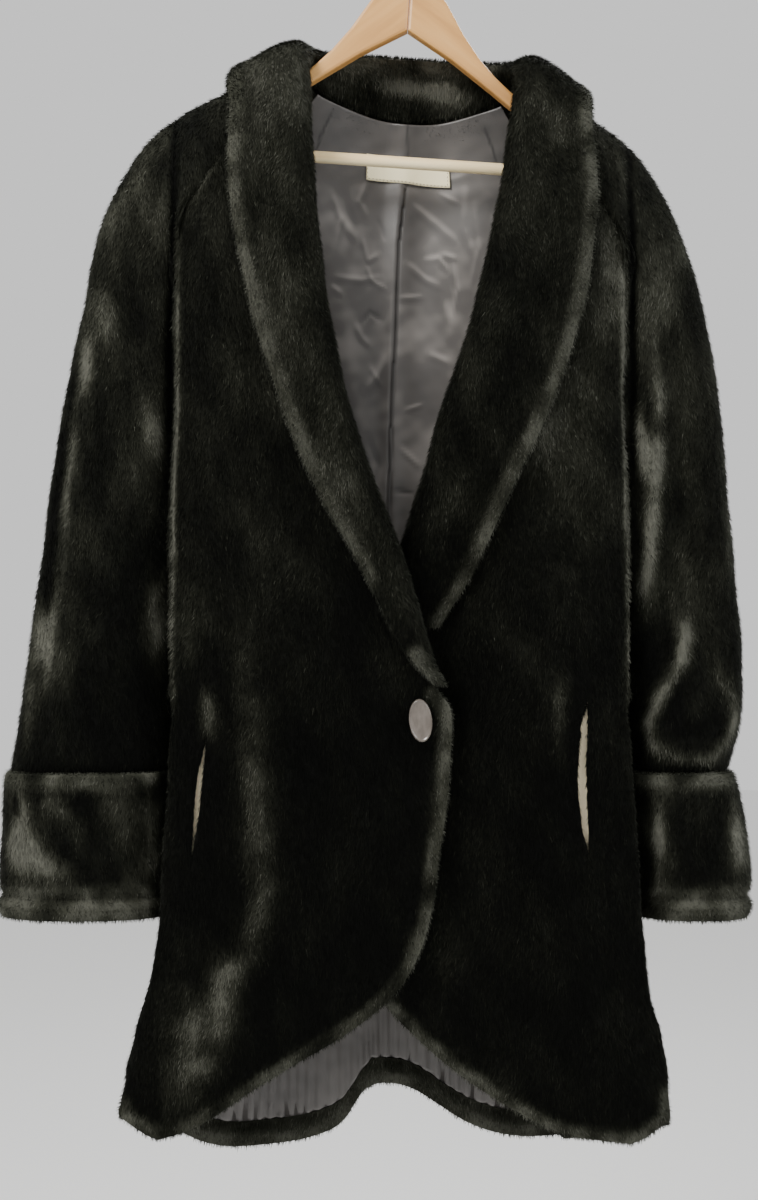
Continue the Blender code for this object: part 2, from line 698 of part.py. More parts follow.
def make_back():
    """The back, one piece from side seam to side seam, its hem arched at the middle."""
    outer = [[back_point(s * (back_seam_way(d) - SEAM / 2), d) for s in BACK_SHARES] for d in BACK_ROWS]
    hem = [back_hem_drop(x) for x in np.array(outer[-1])[:, 0] * 1.03]
    for up in HEM_ROWS:
        outer.append([back_point(s * (back_seam_way(h - up) - SEAM / 2), h - up)
                      for s, h in zip(BACK_SHARES, hem)])
    outer = np.array(outer)
    outer[..., 2] -= neck_sag(outer[..., 0], -outer[..., 2])
    normals = facing_out(grid_normals(outer), outer * [1, 1, 0] + [0, 40, 0])
    for side, column in ((-1, 0), (1, -1)):
        normals[:SEAM_ROWS, column] = sleeve_faces(side)[3]
    free = np.concatenate([np.full(len(BACK_ROWS), 99.0), HEM_ROWS])
    drawn = rounded(free, PLUSH)[:, None, None]
    wall("back", outer - normals * drawn, outer - normals * (PLUSH - drawn), "plush")
    return outer, normals


def drawn_in(grid, share):
    """The grid with its two side columns moved towards their neighbours."""
    grid = grid.copy()
    grid[:, 0] += (grid[:, 1] - grid[:, 0]) * share
    grid[:, -1] += (grid[:, -2] - grid[:, -1]) * share
    return grid


def make_back_linings(outer, normals):
    """The satin lining inside the back and the plush facing inside its hem."""
    at_armhole = np.where(np.arange(len(outer)) <= SEAM_ROWS, 0.85, 0.35)[:, None]
    outer, normals = drawn_in(outer, at_armhole), unit(drawn_in(normals, 0.9))
    hem = len(BACK_ROWS) + 1
    x, drop = outer[:hem, :, 0], -outer[:hem, :, 2]
    pleat = 5.0 * np.exp(-(((x + 2) / 9) ** 2)) * (1 - ease(520, 800, drop))
    above_hem = drop[-1:] - drop
    gather = 2.0 * (1 + np.cos(np.arange(x.shape[1]) * np.pi)) * (1 - ease(0, 50, above_hem))
    lift = (PLUSH + LIE + 0.6 + pleat + gather)[..., None]
    top = outer[:hem] - normals[:hem] * lift
    wall("lining_back", top, top - normals[:hem] * LINING_THICK, "lining")

    strip, turned = outer[hem:], normals[hem:]
    free = np.minimum(HEM_ROWS[1:], HEM_FACING_TALL - HEM_ROWS[1:])
    drawn = rounded(free, FACING_THICK)[:, None, None]
    top = strip - turned * (PLUSH + LIE + 0.5 * drawn)
    under = strip - turned * (PLUSH + LIE + FACING_THICK - drawn)
    wall("hem_facing_back", top, under, "plush_edge")


def make_sleeve(side):
    outer, inner, _, _ = sleeve_faces(side)
    return wall(f"sleeve_{SIDES[side]}", outer, inner, "plush", ring=True)


def make_cuff(side):
    """A cuff that carries on from the sleeve's last ring, with a rolled hem."""
    end = sleeve_faces(side)[0][-1]
    middle = end.mean(axis=0)
    away = unit((end - middle) * [1, 1, 0])
    rings, drawn = [], []
    for drop, swell in zip(CUFF["drop"], CUFF["swell"]):
        ring = end + away * swell
        outward = ease(0, 1, (end[:, 0] - middle[0]) * side / 80 + 0.5)
        share = (drop - SLEEVE_END) / (CUFF_BOTTOM - SLEEVE_END)
        ring[:, 0] += side * CUFF_LEAN[side] * outward * ease(0, 1, 2.5 * share)
        ring[:, 0] += side * 17 * (1 - outward) * share**0.7
        ring[:, 2] = -drop - (SEAM if drop == SLEEVE_END else 0)
        rings.append(ring)
        drawn.append(float(rounded(CUFF_BOTTOM - drop, PLUSH)))
    rings = np.array(rings)
    normals = facing_out(grid_normals(rings, ring=True) * [1, 1, 0.2], rings - rings.mean(axis=1, keepdims=True))
    normals = unit(normals)
    inner = rings - normals * PLUSH
    inner[:, :, 2] = rings[:, :, 2]
    return wall(f"cuff_{SIDES[side]}", rings, inner, "plush", ring=True)


# ---- the collar ----
def collar_outline(length, slot, inside, leg, thick, free):
    """One cut through the collar as (along, level) points; the cloth it covers is at level 0."""
    level = thick + COLLAR_LIE
    round_in = min(6.0, 0.2 * length)
    start = min(ROLL_IN, 0.6 * length)
    return np.array([
        (start, COLLAR_LIE),
        (start + 0.18 * (length - start), COLLAR_LIE),
        (start + 0.40 * (length - start), COLLAR_LIE),
        (start + 0.66 * (length - start), COLLAR_LIE),
        (length - 3.5, COLLAR_LIE),
        (length - 0.3, COLLAR_LIE + 0.28 * thick),
        (length - 0.5, COLLAR_LIE + 0.66 * thick),
        (length - round_in, level - 0.4),
        (0.68 * length + 2, level + 0.3),
        (0.38 * length + 5, level + 0.6 + free),
        (15.0, level + free),
        (5.5, 0.72 * level + free),
        (0.0, 0.1 * level),
        (1.0, -0.45 * (slot + inside)),
        (6.5, -0.95 * (slot + inside)),
        (max(leg * 0.6, 9.0), -slot - inside),
        (leg - 1.0, -slot - 0.9 * inside),
        (leg, -slot - 0.35 * inside),
        (leg - 0.4, -slot),
        (start, -slot),
    ])


def neck_stations(side):
    """Stations round the neck: origin, along, level axis, and the sizes of the cut."""
    made = []
    index = np.arange(len(NECK["leg"]), dtype=float)
    for place in np.linspace(0, index[-1], 11):
        at = {name: float(smooth(index, column, place)) for name, column in NECK.items()}
        roll = np.array([side * at["roll_out"], at["roll_y"], -at["roll_drop"]])
        edge = np.array([side * at["edge_out"], at["edge_y"], -at["edge_drop"]])
        face = unit(np.array([side * at["face_out"], at["face_back"], at["face_up"]]))
        along = unit((edge - roll) - face * np.dot(edge - roll, face))
        length = float(np.dot(edge - roll, along))
        made.append((roll, along, face, length, at["slot"], at["inside"], at["leg"], 4.0))
    return made


def collar_cloth_level(origin, along, face, distance, cloth):
    """The height of the cloth below a point of the collar, or None where there is none."""
    start = origin + along * distance + face * 60
    hit = cloth.ray_cast(Vector(start * MM), Vector(-face))
    if hit[0] is None:
        return None
    return 60 - hit[3] / MM


def make_collar(side, cloth):
    """Half of the shawl collar: down the front, over the shoulder, to the centre back."""
    rings = []
    for n, (origin, along, face, length, slot, inside, leg, free) in enumerate(neck_stations(side)):
        outline = collar_outline(length, slot, inside, leg, COLLAR_THICK, free)
        ring = []
        for reach, level in outline:
            lift = 0.0
            if level > 0 and reach > 11:
                found = collar_cloth_level(origin, along, face, reach, cloth)
                lift = max(0.0, found + 1.4) if found is not None and found > -25 else 0.0
            ring.append(origin + along * reach + face * (level + lift))
        ring = np.array(ring)
        if n == 0:
            ring[:, 0] = side * SEAM / 2
        rings.append(ring)
    rows = front_rows(side)
    rows = rows[(rows > 170) & (rows < COLLAR_END[side] - 4)]
    drops = np.concatenate([rows, [COLLAR_END[side] - 3, COLLAR_END[side]]])
    for drop in drops:
        roll = float(read(COLLAR[side], "roll", drop))
        length = float(read(COLLAR[side], "edge", drop)) - roll
        end = 1 - ease(COLLAR_END[side] - 12, COLLAR_END[side], drop)
        thin = 1 - (0.45 * ease(560, 640, drop) if side > 0 else 0.12 * ease(640, 700, drop))
        thick = COLLAR_THICK * thin * (0.55 + 0.45 * math.sqrt(max(end, 0)))
        leg = 13 + 21 * float(ease(180, 270, drop)) - 8 * float(ease(600, 700, drop))
        inside = FACING_THICK * (0.6 + 0.4 * end)
        start = 3 * (1 - ease(172, 230, drop))
        outline = collar_outline(length, PLUSH + 2.6, inside, leg, thick, start)
        ring = []
        for reach, level in outline:
            base = front_point(side, roll + reach, drop)
            over_sleeve = 2.5 * ease(0.4, 1.0, reach / length) * (1 - ease(250, 300, drop))
            ring.append(base - np.array([0, level + over_sleeve * (level > 0), 0]))
        rings.append(np.array(ring))
    rings = hang(np.array(rings))
    count, points = rings.shape[:2]
    faces = face_grid(0, count, points, ring=True)
    faces += [tuple(range(points)), tuple(range(count * points - 1, (count - 1) * points - 1, -1))]
    return solid(f"collar_{SIDES[side]}", rings.reshape(-1, 3), faces, "plush")


def cloth_under_collar():
    """The outer faces of the pieces that the collar lies on, for finding their height."""
    vertices, polygons = [], []
    for name in ("back", "sleeve_left", "sleeve_right", "front_left", "front_right"):
        mesh = bpy.data.objects[name].data
        start = len(vertices)
        upright = unhang(np.array([v.co for v in mesh.vertices]) / MM) * MM
        vertices += [tuple(v) for v in upright]
        polygons += [tuple(start + i for i in p.vertices) for p in mesh.polygons]
    return BVHTree.FromPolygons(vertices, polygons)


def unhang(points):
    """Undoes hang(), by stepping towards the place that hangs at these points."""
    guess = np.array(points, float)
    for _ in range(30):
        guess = guess + (points - hang(guess))
    return guess


# ---- pockets, button and label ----
def make_pocket(side):
    """The cream pocket bag behind a slit: a flat pouch just inside the front."""
    line, _ = slit_line(side)
    drops = np.linspace(line[0, 1] - 14, line[-1, 1] + 40, 11)
    centre = np.interp(drops, line[:, 1], line[:, 0])
    across = np.array([11, 5, 0, -6, -14, -24, -34, -44])
    panel = bpy.data.objects[f"front_{SIDES[side]}"].data
    inside = BVHTree.FromPolygons([v.co for v in panel.vertices], [p.vertices for p in panel.polygons])
    grid = []
    for drop, out in zip(drops, centre):
        line = []
        for reach in across:
            place = hang(front_point(side, out + reach, drop))
            start = Vector((place[0] * MM, (place[1] + 40) * MM, place[2] * MM))
            hit = inside.ray_cast(start, Vector((0, -1, 0)))
            line.append((place[0], hit[0].y / MM + POCKET_SEAT, place[2]))
        grid.append(line)
    grid = np.array(grid)
    behind = grid + [0, 2.4, 0]
    return closed_sheet(f"pocket_{SIDES[side]}", grid, behind, "pocket_lining")


def make_button():
    """The oval pearl button on its shank, leaning a little as it hangs."""
    out, drop = BUTTON_AT
    seat = hang(np.array([-out, front_point(-1, out, drop)[1], -drop]))
    bpy.ops.mesh.primitive_uv_sphere_add(segments=20, ring_count=10, radius=0.5 * MM)
    button = bpy.context.object
    button.name = button.data.name = "button"
    button.data.transform(Matrix.Diagonal((BUTTON_WIDE, BUTTON_THICK, BUTTON_TALL, 1)))
    lean = Matrix.Rotation(math.radians(-BUTTON_LEAN), 4, "Y")
    middle = Vector(seat * MM) - Vector((0, (SHANK_LONG + BUTTON_THICK / 2 + SEAM * 2) * MM, 0))
    button.data.transform(Matrix.Translation(middle) @ lean)
    move_to_coat(button, "pearl")

    bpy.ops.mesh.primitive_cylinder_add(vertices=16, radius=3 * MM, depth=SHANK_LONG * MM)
    shank = bpy.context.object
    shank.name = shank.data.name = "button_shank"
    along_y = Matrix.Rotation(math.radians(90), 4, "X")
    place = Vector(seat * MM) - Vector((0, (SHANK_LONG / 2 + SEAM) * MM, 0))
    shank.data.transform(Matrix.Translation(place) @ along_y)
    move_to_coat(shank, "pearl")


def move_to_coat(made, finish):
    for collection in list(made.users_collection):
        collection.objects.unlink(made)
    COAT.objects.link(made)
    made.data.shade_smooth()
    made.data.set_sharp_from_angle(angle=math.radians(40))
    made.data.materials.clear()
    made.data.materials.append(material(finish))


def make_label():
    """The plain woven label sewn to the lining below the back neck."""
    cloth = BVHTree.FromObject(bpy.data.objects["lining_back"], bpy.context.evaluated_depsgraph_get())
    across = np.linspace(-LABEL["wide"] / 2, LABEL["wide"] / 2, 9)
    down = np.linspace(-LABEL["tall"] / 2, LABEL["tall"] / 2, 5)
    grid = []
    for d in down:
        line = []
        for a in across:
            x, z = a - 6, -(LABEL["drop"] + d + LABEL["lean"] * a)
            hit = cloth.ray_cast(Vector((x * MM, -0.03, z * MM)), Vector((0, 1, 0)))
            line.append((x, hit[0].y / MM if hit[0] else 30.0, z))
        grid.append(line)
    grid = np.array(grid)
    grid[..., 1] = grid[..., 1].min(axis=0, keepdims=True) - LIE / 2 - 0.8
    closed_sheet("label", grid - [0, LABEL["thick"], 0], grid, "label")


# ---- the hanger ----
def tilted():
    return Matrix.Rotation(math.radians(HANGER_TILT), 4, "Y")


def curve_to_mesh(curve_object, name, finish):
    """A curve's evaluated mesh as its own object, welded and placed as the curve was."""
    graph = bpy.context.evaluated_depsgraph_get()
    mesh = bpy.data.meshes.new_from_object(curve_object.evaluated_get(graph))
    mesh.transform(tilted())
    shape = bmesh.new()
    shape.from_mesh(mesh)
    bmesh.ops.remove_doubles(shape, verts=shape.verts[:], dist=1e-6)
    bmesh.ops.recalc_face_normals(shape, faces=shape.faces[:])
    shape.to_mesh(mesh)
    shape.free()
    curve = curve_object.data
    bpy.data.objects.remove(curve_object)
    bpy.data.curves.remove(curve)
    mesh.name = name
    made = add_object(name, mesh, finish)
    mesh.shade_smooth()
    mesh.set_sharp_from_angle(angle=math.radians(40))
    return made


def make_hanger_arm(side):
    """One half of the wooden hanger: a flat board with eased edges."""
    gap = SEAM / 2
    outline = [(side * max(out, gap), -drop) for out, drop in ARM_TOP + ARM_UNDER]
    curve = bpy.data.curves.new("arm", "CURVE")
    curve.dimensions = "2D"
    curve.fill_mode = "BOTH"
    curve.extrude = (WOOD_THICK / 2 - 2.5) * MM
    curve.bevel_depth = 2.5 * MM
    curve.bevel_resolution = 1
    curve.offset = -2.5 * MM
    line = curve.splines.new("POLY")
    line.points.add(len(outline) - 1)
    for point, (x, z) in zip(line.points, outline):
        point.co = (x * MM, z * MM, 0, 1)
    line.use_cyclic_u = True
    flat = bpy.data.objects.new("arm", curve)
    flat.rotation_euler = (math.radians(90), 0, 0)
    bpy.context.scene.collection.objects.link(flat)
    bpy.context.view_layer.update()
    graph = bpy.context.evaluated_depsgraph_get()
    mesh = bpy.data.meshes.new_from_object(flat.evaluated_get(graph))
    mesh.transform(tilted() @ flat.matrix_world)
    shape = bmesh.new()
    shape.from_mesh(mesh)
    bmesh.ops.remove_doubles(shape, verts=shape.verts[:], dist=1e-6)
    bmesh.ops.recalc_face_normals(shape, faces=shape.faces[:])
    shape.to_mesh(mesh)
    shape.free()
    bpy.data.objects.remove(flat)
    bpy.data.curves.remove(curve)
    add_object(f"hanger_arm_{SIDES[side]}", mesh, "wood")


def wire(name, points, radius, finish):
    """A round rod along the points, given as (x, y, z) in the hanger's own frame."""
    curve = bpy.data.curves.new(name, "CURVE")
    curve.dimensions = "3D"
    curve.bevel_depth = radius * MM
    curve.bevel_resolution = 2
    curve.use_fill_caps = True
    line = curve.splines.new("POLY")
    line.points.add(len(points) - 1)
    for point, (x, y, z) in zip(line.points, points):
        point.co = (x * MM, y * MM, z * MM, 1)
    rod = bpy.data.objects.new(name + "_line", curve)
    bpy.context.scene.collection.objects.link(rod)
    bpy.context.view_layer.update()
    return curve_to_mesh(rod, name, finish)


def make_hanger():
    for side in SIDES:
        make_hanger_arm(side)
    reach = BAR_REACH
    wire("hanger_bar", [(-reach, 0, -BAR_DROP), (0, 0, -BAR_DROP), (reach, 0, -BAR_DROP)], BAR_RADIUS, "dowel")
    centre = HOOK_WIRE - HOOK_RADIUS
    turns = np.radians(np.linspace(200, -78, 23))
    bow = [(HOOK_RADIUS * math.cos(t), 0, centre + HOOK_RADIUS * math.sin(t)) for t in turns]
    stem = [(1.5, 0, centre - HOOK_RADIUS - 0.6), (0, 0, centre - HOOK_RADIUS - 1.4)]
    wire("hanger_hook", bow + stem, HOOK_WIRE, "steel")


def clear_scene():
    for old in list(bpy.data.objects):
        bpy.data.objects.remove(old, do_unlink=True)


def main():
    clear_scene()
    for collection in (COAT, CUTTERS):
        bpy.context.scene.collection.children.link(collection)
    for side in SIDES:
        make_facing(side, *make_front(side))
        make_sleeve(side)
        make_cuff(side)
        make_pocket(side)
    outer, normals = make_back()
    make_back_linings(outer, normals)
    cloth = cloth_under_collar()
    for side in SIDES:
        make_collar(side, cloth)
    make_button()
    make_hanger()
    bpy.context.view_layer.update()
    make_label()


main()
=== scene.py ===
# %% [markdown]
# # A dark plush coat on its hanger
# The real thing is a long coat of sheared plush: a knitted backing with a dense, short pile
# that lies downwards. It has a wide shawl collar, raglan sleeves, turned-up cuffs and one
# button, and it hangs on a wooden hanger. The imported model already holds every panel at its
# real size, so this notebook only dresses it. Lengths are in millimetres unless a name says
# otherwise.

# %% Load the frame
import math

import bpy
import bmesh
import numpy as np
from mathutils import Matrix, Vector
from mathutils.bvhtree import BVHTree
from mathutils.kdtree import KDTree


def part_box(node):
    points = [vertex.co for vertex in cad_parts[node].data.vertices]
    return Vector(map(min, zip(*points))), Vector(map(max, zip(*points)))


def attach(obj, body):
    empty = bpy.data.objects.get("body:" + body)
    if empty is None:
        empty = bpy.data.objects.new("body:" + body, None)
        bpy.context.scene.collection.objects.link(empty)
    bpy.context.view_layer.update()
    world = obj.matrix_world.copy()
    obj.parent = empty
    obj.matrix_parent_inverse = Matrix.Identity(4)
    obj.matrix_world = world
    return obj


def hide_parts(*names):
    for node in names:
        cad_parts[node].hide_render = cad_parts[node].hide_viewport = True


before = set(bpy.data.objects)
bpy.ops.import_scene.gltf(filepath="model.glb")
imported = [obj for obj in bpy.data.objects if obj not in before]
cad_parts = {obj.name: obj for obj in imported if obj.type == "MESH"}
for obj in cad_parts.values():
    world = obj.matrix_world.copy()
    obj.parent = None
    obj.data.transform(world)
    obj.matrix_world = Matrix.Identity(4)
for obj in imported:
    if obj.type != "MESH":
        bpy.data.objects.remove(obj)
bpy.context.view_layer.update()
MM = 0.001

# %% [markdown]
# ## Camera, floor and light
# The coat was photographed square on from about a metre and a half, so a 50 mm lens stands
# level with the waist. The floor is far below the hem, pale and plain, under a pale sky: dark
# plush shows its shape only by the broad soft light that slides over it. The studio alone is
# set out in metres.

# %% Camera
CAMERA_AT = (-0.0333, -1.56, -0.628)


def add_object(name, data):
    """A new object in the scene."""
    made = bpy.data.objects.new(name, data)
    bpy.context.scene.collection.objects.link(made)
    return made


lens = bpy.data.cameras.new("studio_camera")
lens.lens = 50.0
lens.sensor_width = 36.0
camera = add_object("studio_camera", lens)
camera.location = CAMERA_AT
camera.rotation_euler = (math.radians(90), 0, 0)
bpy.context.scene.camera = camera
print("camera at", CAMERA_AT)

# %% Floor
FLOOR_DROP = 1.80


def plain_material(name, colour, rough, others=()):
    """A Principled material in one colour, with its other inputs as pairs of name and value."""
    made = bpy.data.materials.new(name)
    made.use_nodes = True
    shader = made.node_tree.nodes["Principled BSDF"]
    for key, value in (("Base Color", (*colour, 1)), ("Roughness", rough), *others):
        shader.inputs[key].default_value = value
    return made, shader


bpy.ops.mesh.primitive_circle_add(vertices=96, radius=9, fill_type="NGON", location=(0, 0, -FLOOR_DROP))
floor = bpy.context.object
floor.name = "studio_floor"
floor.data.materials.append(plain_material("pale_floor", (0.86, 0.86, 0.85), 0.9)[0])
print("floor", FLOOR_DROP, "m below the hook")

# %% Sky and lamps
SKY_BRIGHT = 0.88
MIDDLE = (0, 0, -0.6)


def area_light(name, place, target, size, watts, colour):
    """A soft box that faces its target."""
    data = bpy.data.lights.new(name, "AREA")
    data.shape = "DISK"
    data.size = size
    data.energy = watts
    data.color = colour
    lamp = add_object(name, data)
    lamp.location = place
    lamp.rotation_euler = (Vector(target) - Vector(place)).to_track_quat("-Z", "Y").to_euler()


world = bpy.data.worlds.new("pale_sky")
world.use_nodes = True
sky = world.node_tree.nodes["Background"]
sky.inputs["Color"].default_value = (1.0, 1.0, 1.0, 1)
sky.inputs["Strength"].default_value = SKY_BRIGHT
bpy.context.scene.world = world
area_light("key_left", (-1.3, -1.5, 1.0), MIDDLE, 1.0, 68, (1.0, 0.98, 0.95))
area_light("fill_right", (1.9, -1.2, 0.2), MIDDLE, 1.4, 27, (0.96, 0.98, 1.0))
area_light("top_back", (0.4, 1.6, 1.2), MIDDLE, 1.4, 40, (1.0, 1.0, 1.0))
print("lamps:", len(bpy.data.lights), "under a sky of", SKY_BRIGHT)

# %% [markdown]
# ## From a packed panel to a soft shell
# A panel comes as a closed wall of flat facets. Cloth has no facets, so each wall is welded,
# turned back into four-sided faces and subdivided. Sharp wall ends at the seams are creased so
# that neighbours still meet.

# %% Read and weld a panel
CREASE_ANGLE = math.radians(50)


def panel_cage(node):
    """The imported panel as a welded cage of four-sided faces, its square ends kept square."""
    cage = bmesh.new()
    cage.from_mesh(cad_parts[node].data)
    bmesh.ops.remove_doubles(cage, verts=cage.verts[:], dist=1e-6)
    bmesh.ops.join_triangles(cage, faces=cage.faces[:], angle_face_threshold=math.radians(40),
                             angle_shape_threshold=math.radians(60))
    cage.normal_update()
    crease = cage.edges.layers.float.new("crease_edge")
    for edge in cage.edges:
        if len(edge.link_faces) == 2 and edge.calc_face_angle() > CREASE_ANGLE:
            edge[crease] = 1.0
    cage.verts.index_update()
    cage.faces.index_update()
    return cage


print("front_left cage:", len(panel_cage("front_left").faces), "faces")

# %% [markdown]
# ## What daylight reaches
# The pile needs room. Every face that daylight reaches moves in by the depth of the pile, and
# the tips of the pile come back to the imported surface. Rays sent to the sky from each face tell
# which faces those are. At a seam two panels must move the same way, or a slit would open
# between them, so corners that meet there share one direction and lap over by a hair.

# %% Rays to the sky
SKY_RAYS = 20
RAY_LONG = 3000
START_OFF = 1.5
SKY_LOWEST = 0.92
SHADE = 0.1


def whole_coat():
    """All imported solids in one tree, to ask what hides what."""
    points, faces = [], []
    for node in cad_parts.values():
        first = len(points)
        points += [v.co.copy() for v in node.data.vertices]
        faces += [tuple(first + i for i in p.vertices) for p in node.data.polygons]
    return BVHTree.FromPolygons(points, faces)


def sky_pattern():
    """Directions spread over a half sphere round +Z, by the golden angle."""
    turn = math.pi * (3 - math.sqrt(5))
    made = []
    for i in range(SKY_RAYS):
        up = 1 - (i + 0.5) / SKY_RAYS * SKY_LOWEST
        flat = math.sqrt(1 - up * up)
        made.append(Vector((flat * math.cos(i * turn), flat * math.sin(i * turn), up)))
    return made


COAT_TREE = whole_coat()
SKY = sky_pattern()


def daylight(face):
    """The share of the sky that a face of a cage sees."""
    start = face.calc_center_median() + face.normal * START_OFF * MM
    turn = face.normal.to_track_quat("Z", "Y")
    free = sum(COAT_TREE.ray_cast(start, turn @ ray, RAY_LONG * MM)[0] is None for ray in SKY)
    return free / SKY_RAYS


print("sky rays:", SKY_RAYS)

# %% Mark the cages of the plush panels
PLUSH_NODES = ["back", "front_left", "front_right", "sleeve_left", "sleeve_right", "cuff_left",
               "cuff_right", "collar_left", "collar_right", "facing_left", "facing_right",
               "hem_facing_back"]


def mark_daylight(cage):
    """Keeps on each vertex how much sky its lit faces see, the least of it, and their direction."""
    light = cage.verts.layers.float.new("daylight")
    least = cage.verts.layers.float.new("least_light")
    looks = cage.verts.layers.float_vector.new("looks")
    seen = [daylight(face) for face in cage.faces]
    for vert in cage.verts:
        lit = [(face.normal, seen[face.index]) for face in vert.link_faces if seen[face.index] > SHADE]
        vert[least] = min(seen[face.index] for face in vert.link_faces)
        if lit:
            vert[light] = sum(share for _, share in lit) / len(lit)
            vert[looks] = sum((normal * share for normal, share in lit), Vector()).normalized()
    return cage


CAGES = {node: mark_daylight(panel_cage(node)) for node in PLUSH_NODES}
print("cages:", {node: len(cage.faces) for node, cage in CAGES.items()})

# %% Join the cages at their seams
SAME_PLACE = 1.5
SEAM_LAP = 0.4


def layers_of(cage):
    """Where a cage keeps its daylight and its directions."""
    return cage.verts.layers.float["daylight"], cage.verts.layers.float_vector["looks"]


def all_corners(cages):
    """Every lit corner of every cage: its panel, place, daylight and direction."""
    made = []
    for node, cage in cages.items():
        light, looks = layers_of(cage)
        made += [(node, vert.co.copy(), vert[light], Vector(vert[looks])) for vert in cage.verts
                 if Vector(vert[looks]).length > 0]
    return made


def tree_of(places):
    """Finds which of the places are near a point."""
    tree = KDTree(len(places))
    for i, place in enumerate(places):
        tree.insert(place, i)
    tree.balance()
    return tree


def join_seams(cages):
    """Corners that meet at a seam share their daylight and direction, and lap over a little."""
    corners = all_corners(cages)
    tree = tree_of([corner[1] for corner in corners])
    for node, cage in cages.items():
        light, looks = layers_of(cage)
        for vert in cage.verts:
            near = [corners[i] for _, i, _ in tree.find_range(vert.co, SAME_PLACE * MM)]
            group = [corner for corner in near if corner[3].dot(Vector(vert[looks])) > 0]
            others = [corner[1] for corner in group if corner[0] != node]
            if others:
                towards = (sum(others, Vector()) / len(others) - vert.co).normalized()
                vert.co += towards * SEAM_LAP * MM
                vert[light] = sum(corner[2] for corner in group) / len(group)
                vert[looks] = sum((corner[3] for corner in group), Vector()).normalized()
    return len(corners)


print("lit corners:", join_seams(CAGES))

# %% Read and write the vertices
def read(items, key, width, kind=float):
    """One property of a mesh's items, as an array with a row an item."""
    values = np.empty(len(items) * width, kind)
    items.foreach_get(key, values)
    return values.reshape(-1, width)


def read_value(mesh, key):
    """A number kept on each vertex."""
    return read(mesh.attributes[key].data, "value", 1)[:, 0]


def read_points(mesh):
    """The vertices of a mesh, in millimetres."""
    return read(mesh.vertices, "co", 3) / MM


def put_points(mesh, points):
    """Moves the vertices of a mesh to new places, given in millimetres."""
    mesh.vertices.foreach_set("co", (points * MM).ravel())
    mesh.update()


def keep_values(mesh, key, values):
    """Stores one number a vertex on the mesh."""
    mesh.attributes.new(key, "FLOAT", "POINT").data.foreach_set("value", values)


print("floor corners:", len(read_points(floor.data)))

# %% Subdivide a cage into a shell
def with_modifiers(piece):
    """A new mesh: the object's own with its modifiers applied."""
    return bpy.data.meshes.new_from_object(piece.evaluated_get(bpy.context.evaluated_depsgraph_get()))


def stand_in(piece, node):
    """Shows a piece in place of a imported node."""
    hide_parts(node)
    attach(piece, "root")


def soft_shell(name, node, cage, levels, finish):
    """A cage as a smooth shell in an object of its own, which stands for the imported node."""
    mesh = bpy.data.meshes.new(name)
    cage.to_mesh(mesh)
    cage.free()
    shell = add_object(name, mesh)
    smooth = shell.modifiers.new("soft", "SUBSURF")
    smooth.levels = smooth.render_levels = levels
    fine = with_modifiers(shell)
    shell.modifiers.clear()
    shell.data = fine
    fine.name = name
    fine.materials.clear()
    fine.materials.append(finish)
    fine.shade_smooth()
    stand_in(shell, node)
    return shell


print("shell tool ready")

# %% [markdown]
# ## Uneven, like cloth
# Nothing in worn cloth is even. A sum of a few dozen long waves in random directions gives a
# smooth random field that is the same on each run, and needs no image. It depends on the place
# alone, so layers that lie on each other drift together and never cut through one another.

# %% A smooth random field
DRIFT = 0.9
RIPPLE_TOP = 1.6


def ease(low, high, at):
    """0 below low, 1 above high, and smooth between."""
    t = np.clip((np.asarray(at, float) - low) / (high - low), 0, 1)
    return t * t * (3 - 2 * t)


def unit(v):
    """Each vector of an array at length 1."""
    return v / np.maximum(np.linalg.norm(v, axis=-1, keepdims=True), 1e-9)


def ripple(points, size, seed, waves=24):
    """A smooth random field, about -1 to 1, with features of about "size" millimetres."""
    dice = np.random.default_rng(seed)
    way = unit(dice.normal(size=(waves, 3)))
    pitch = 2 * np.pi / (size * dice.uniform(0.8, 2.2, waves))
    phase = dice.uniform(0, 2 * np.pi, waves)
    total = np.zeros(len(points))
    for w, k, p in zip(way, pitch, phase):
        total += np.sin(points @ w * k + p)
    return total / math.sqrt(waves / 2) / RIPPLE_TOP


def drifted(points):
    """All soft pieces wander a little, together."""
    moved = points.copy()
    moved[:, 0] += DRIFT * ripple(points, 70, 501)
    moved[:, 1] += DRIFT * ripple(points, 80, 502)
    return moved


print("drift at the hook:", drifted(np.zeros((1, 3))).round(2))

# %% [markdown]
# ## Creases
# Folds in thick plush are broad and shallow. Each is laid along a short path, seen from
# the front. Its row gives how wide it is, how far it stands out, or in where that is negative,
# and where it runs: x,z pairs out and up from the hook. The whole wall moves with it, so that it
# keeps its thickness.

# %% Paths seen from the front
def path_of(text):
    """A path written as x,z pairs."""
    return [tuple(float(part) for part in pair.split(",")) for pair in text.split()]


def drawn(rows):
    """A table with the columns width, height (or paleness) and path, as (path, width, height)."""
    made = []
    for row in rows.strip().splitlines():
        sizes, pairs = row.split(":")
        wide, high = sizes.split()
        made.append((path_of(pairs), float(wide), float(high)))
    return made


def along_path(points, path):
    """Distance from each point (x, z) to a path, and how far along the path that is, 0 to 1."""
    path = np.asarray(path, float)
    steps = np.linalg.norm(np.diff(path, axis=0), axis=1)
    before = np.concatenate([[0], np.cumsum(steps)])
    best = np.full(len(points), 1e9)
    share = np.zeros(len(points))
    for a, b, step, start in zip(path, path[1:], steps, before):
        t = np.clip((points - a) @ (b - a) / step**2, 0, 1)
        gap = np.linalg.norm(points - (a + t[:, None] * (b - a)), axis=1)
        near = gap < best
        best[near] = gap[near]
        share[near] = ((start + t * step) / before[-1])[near]
    return best, share


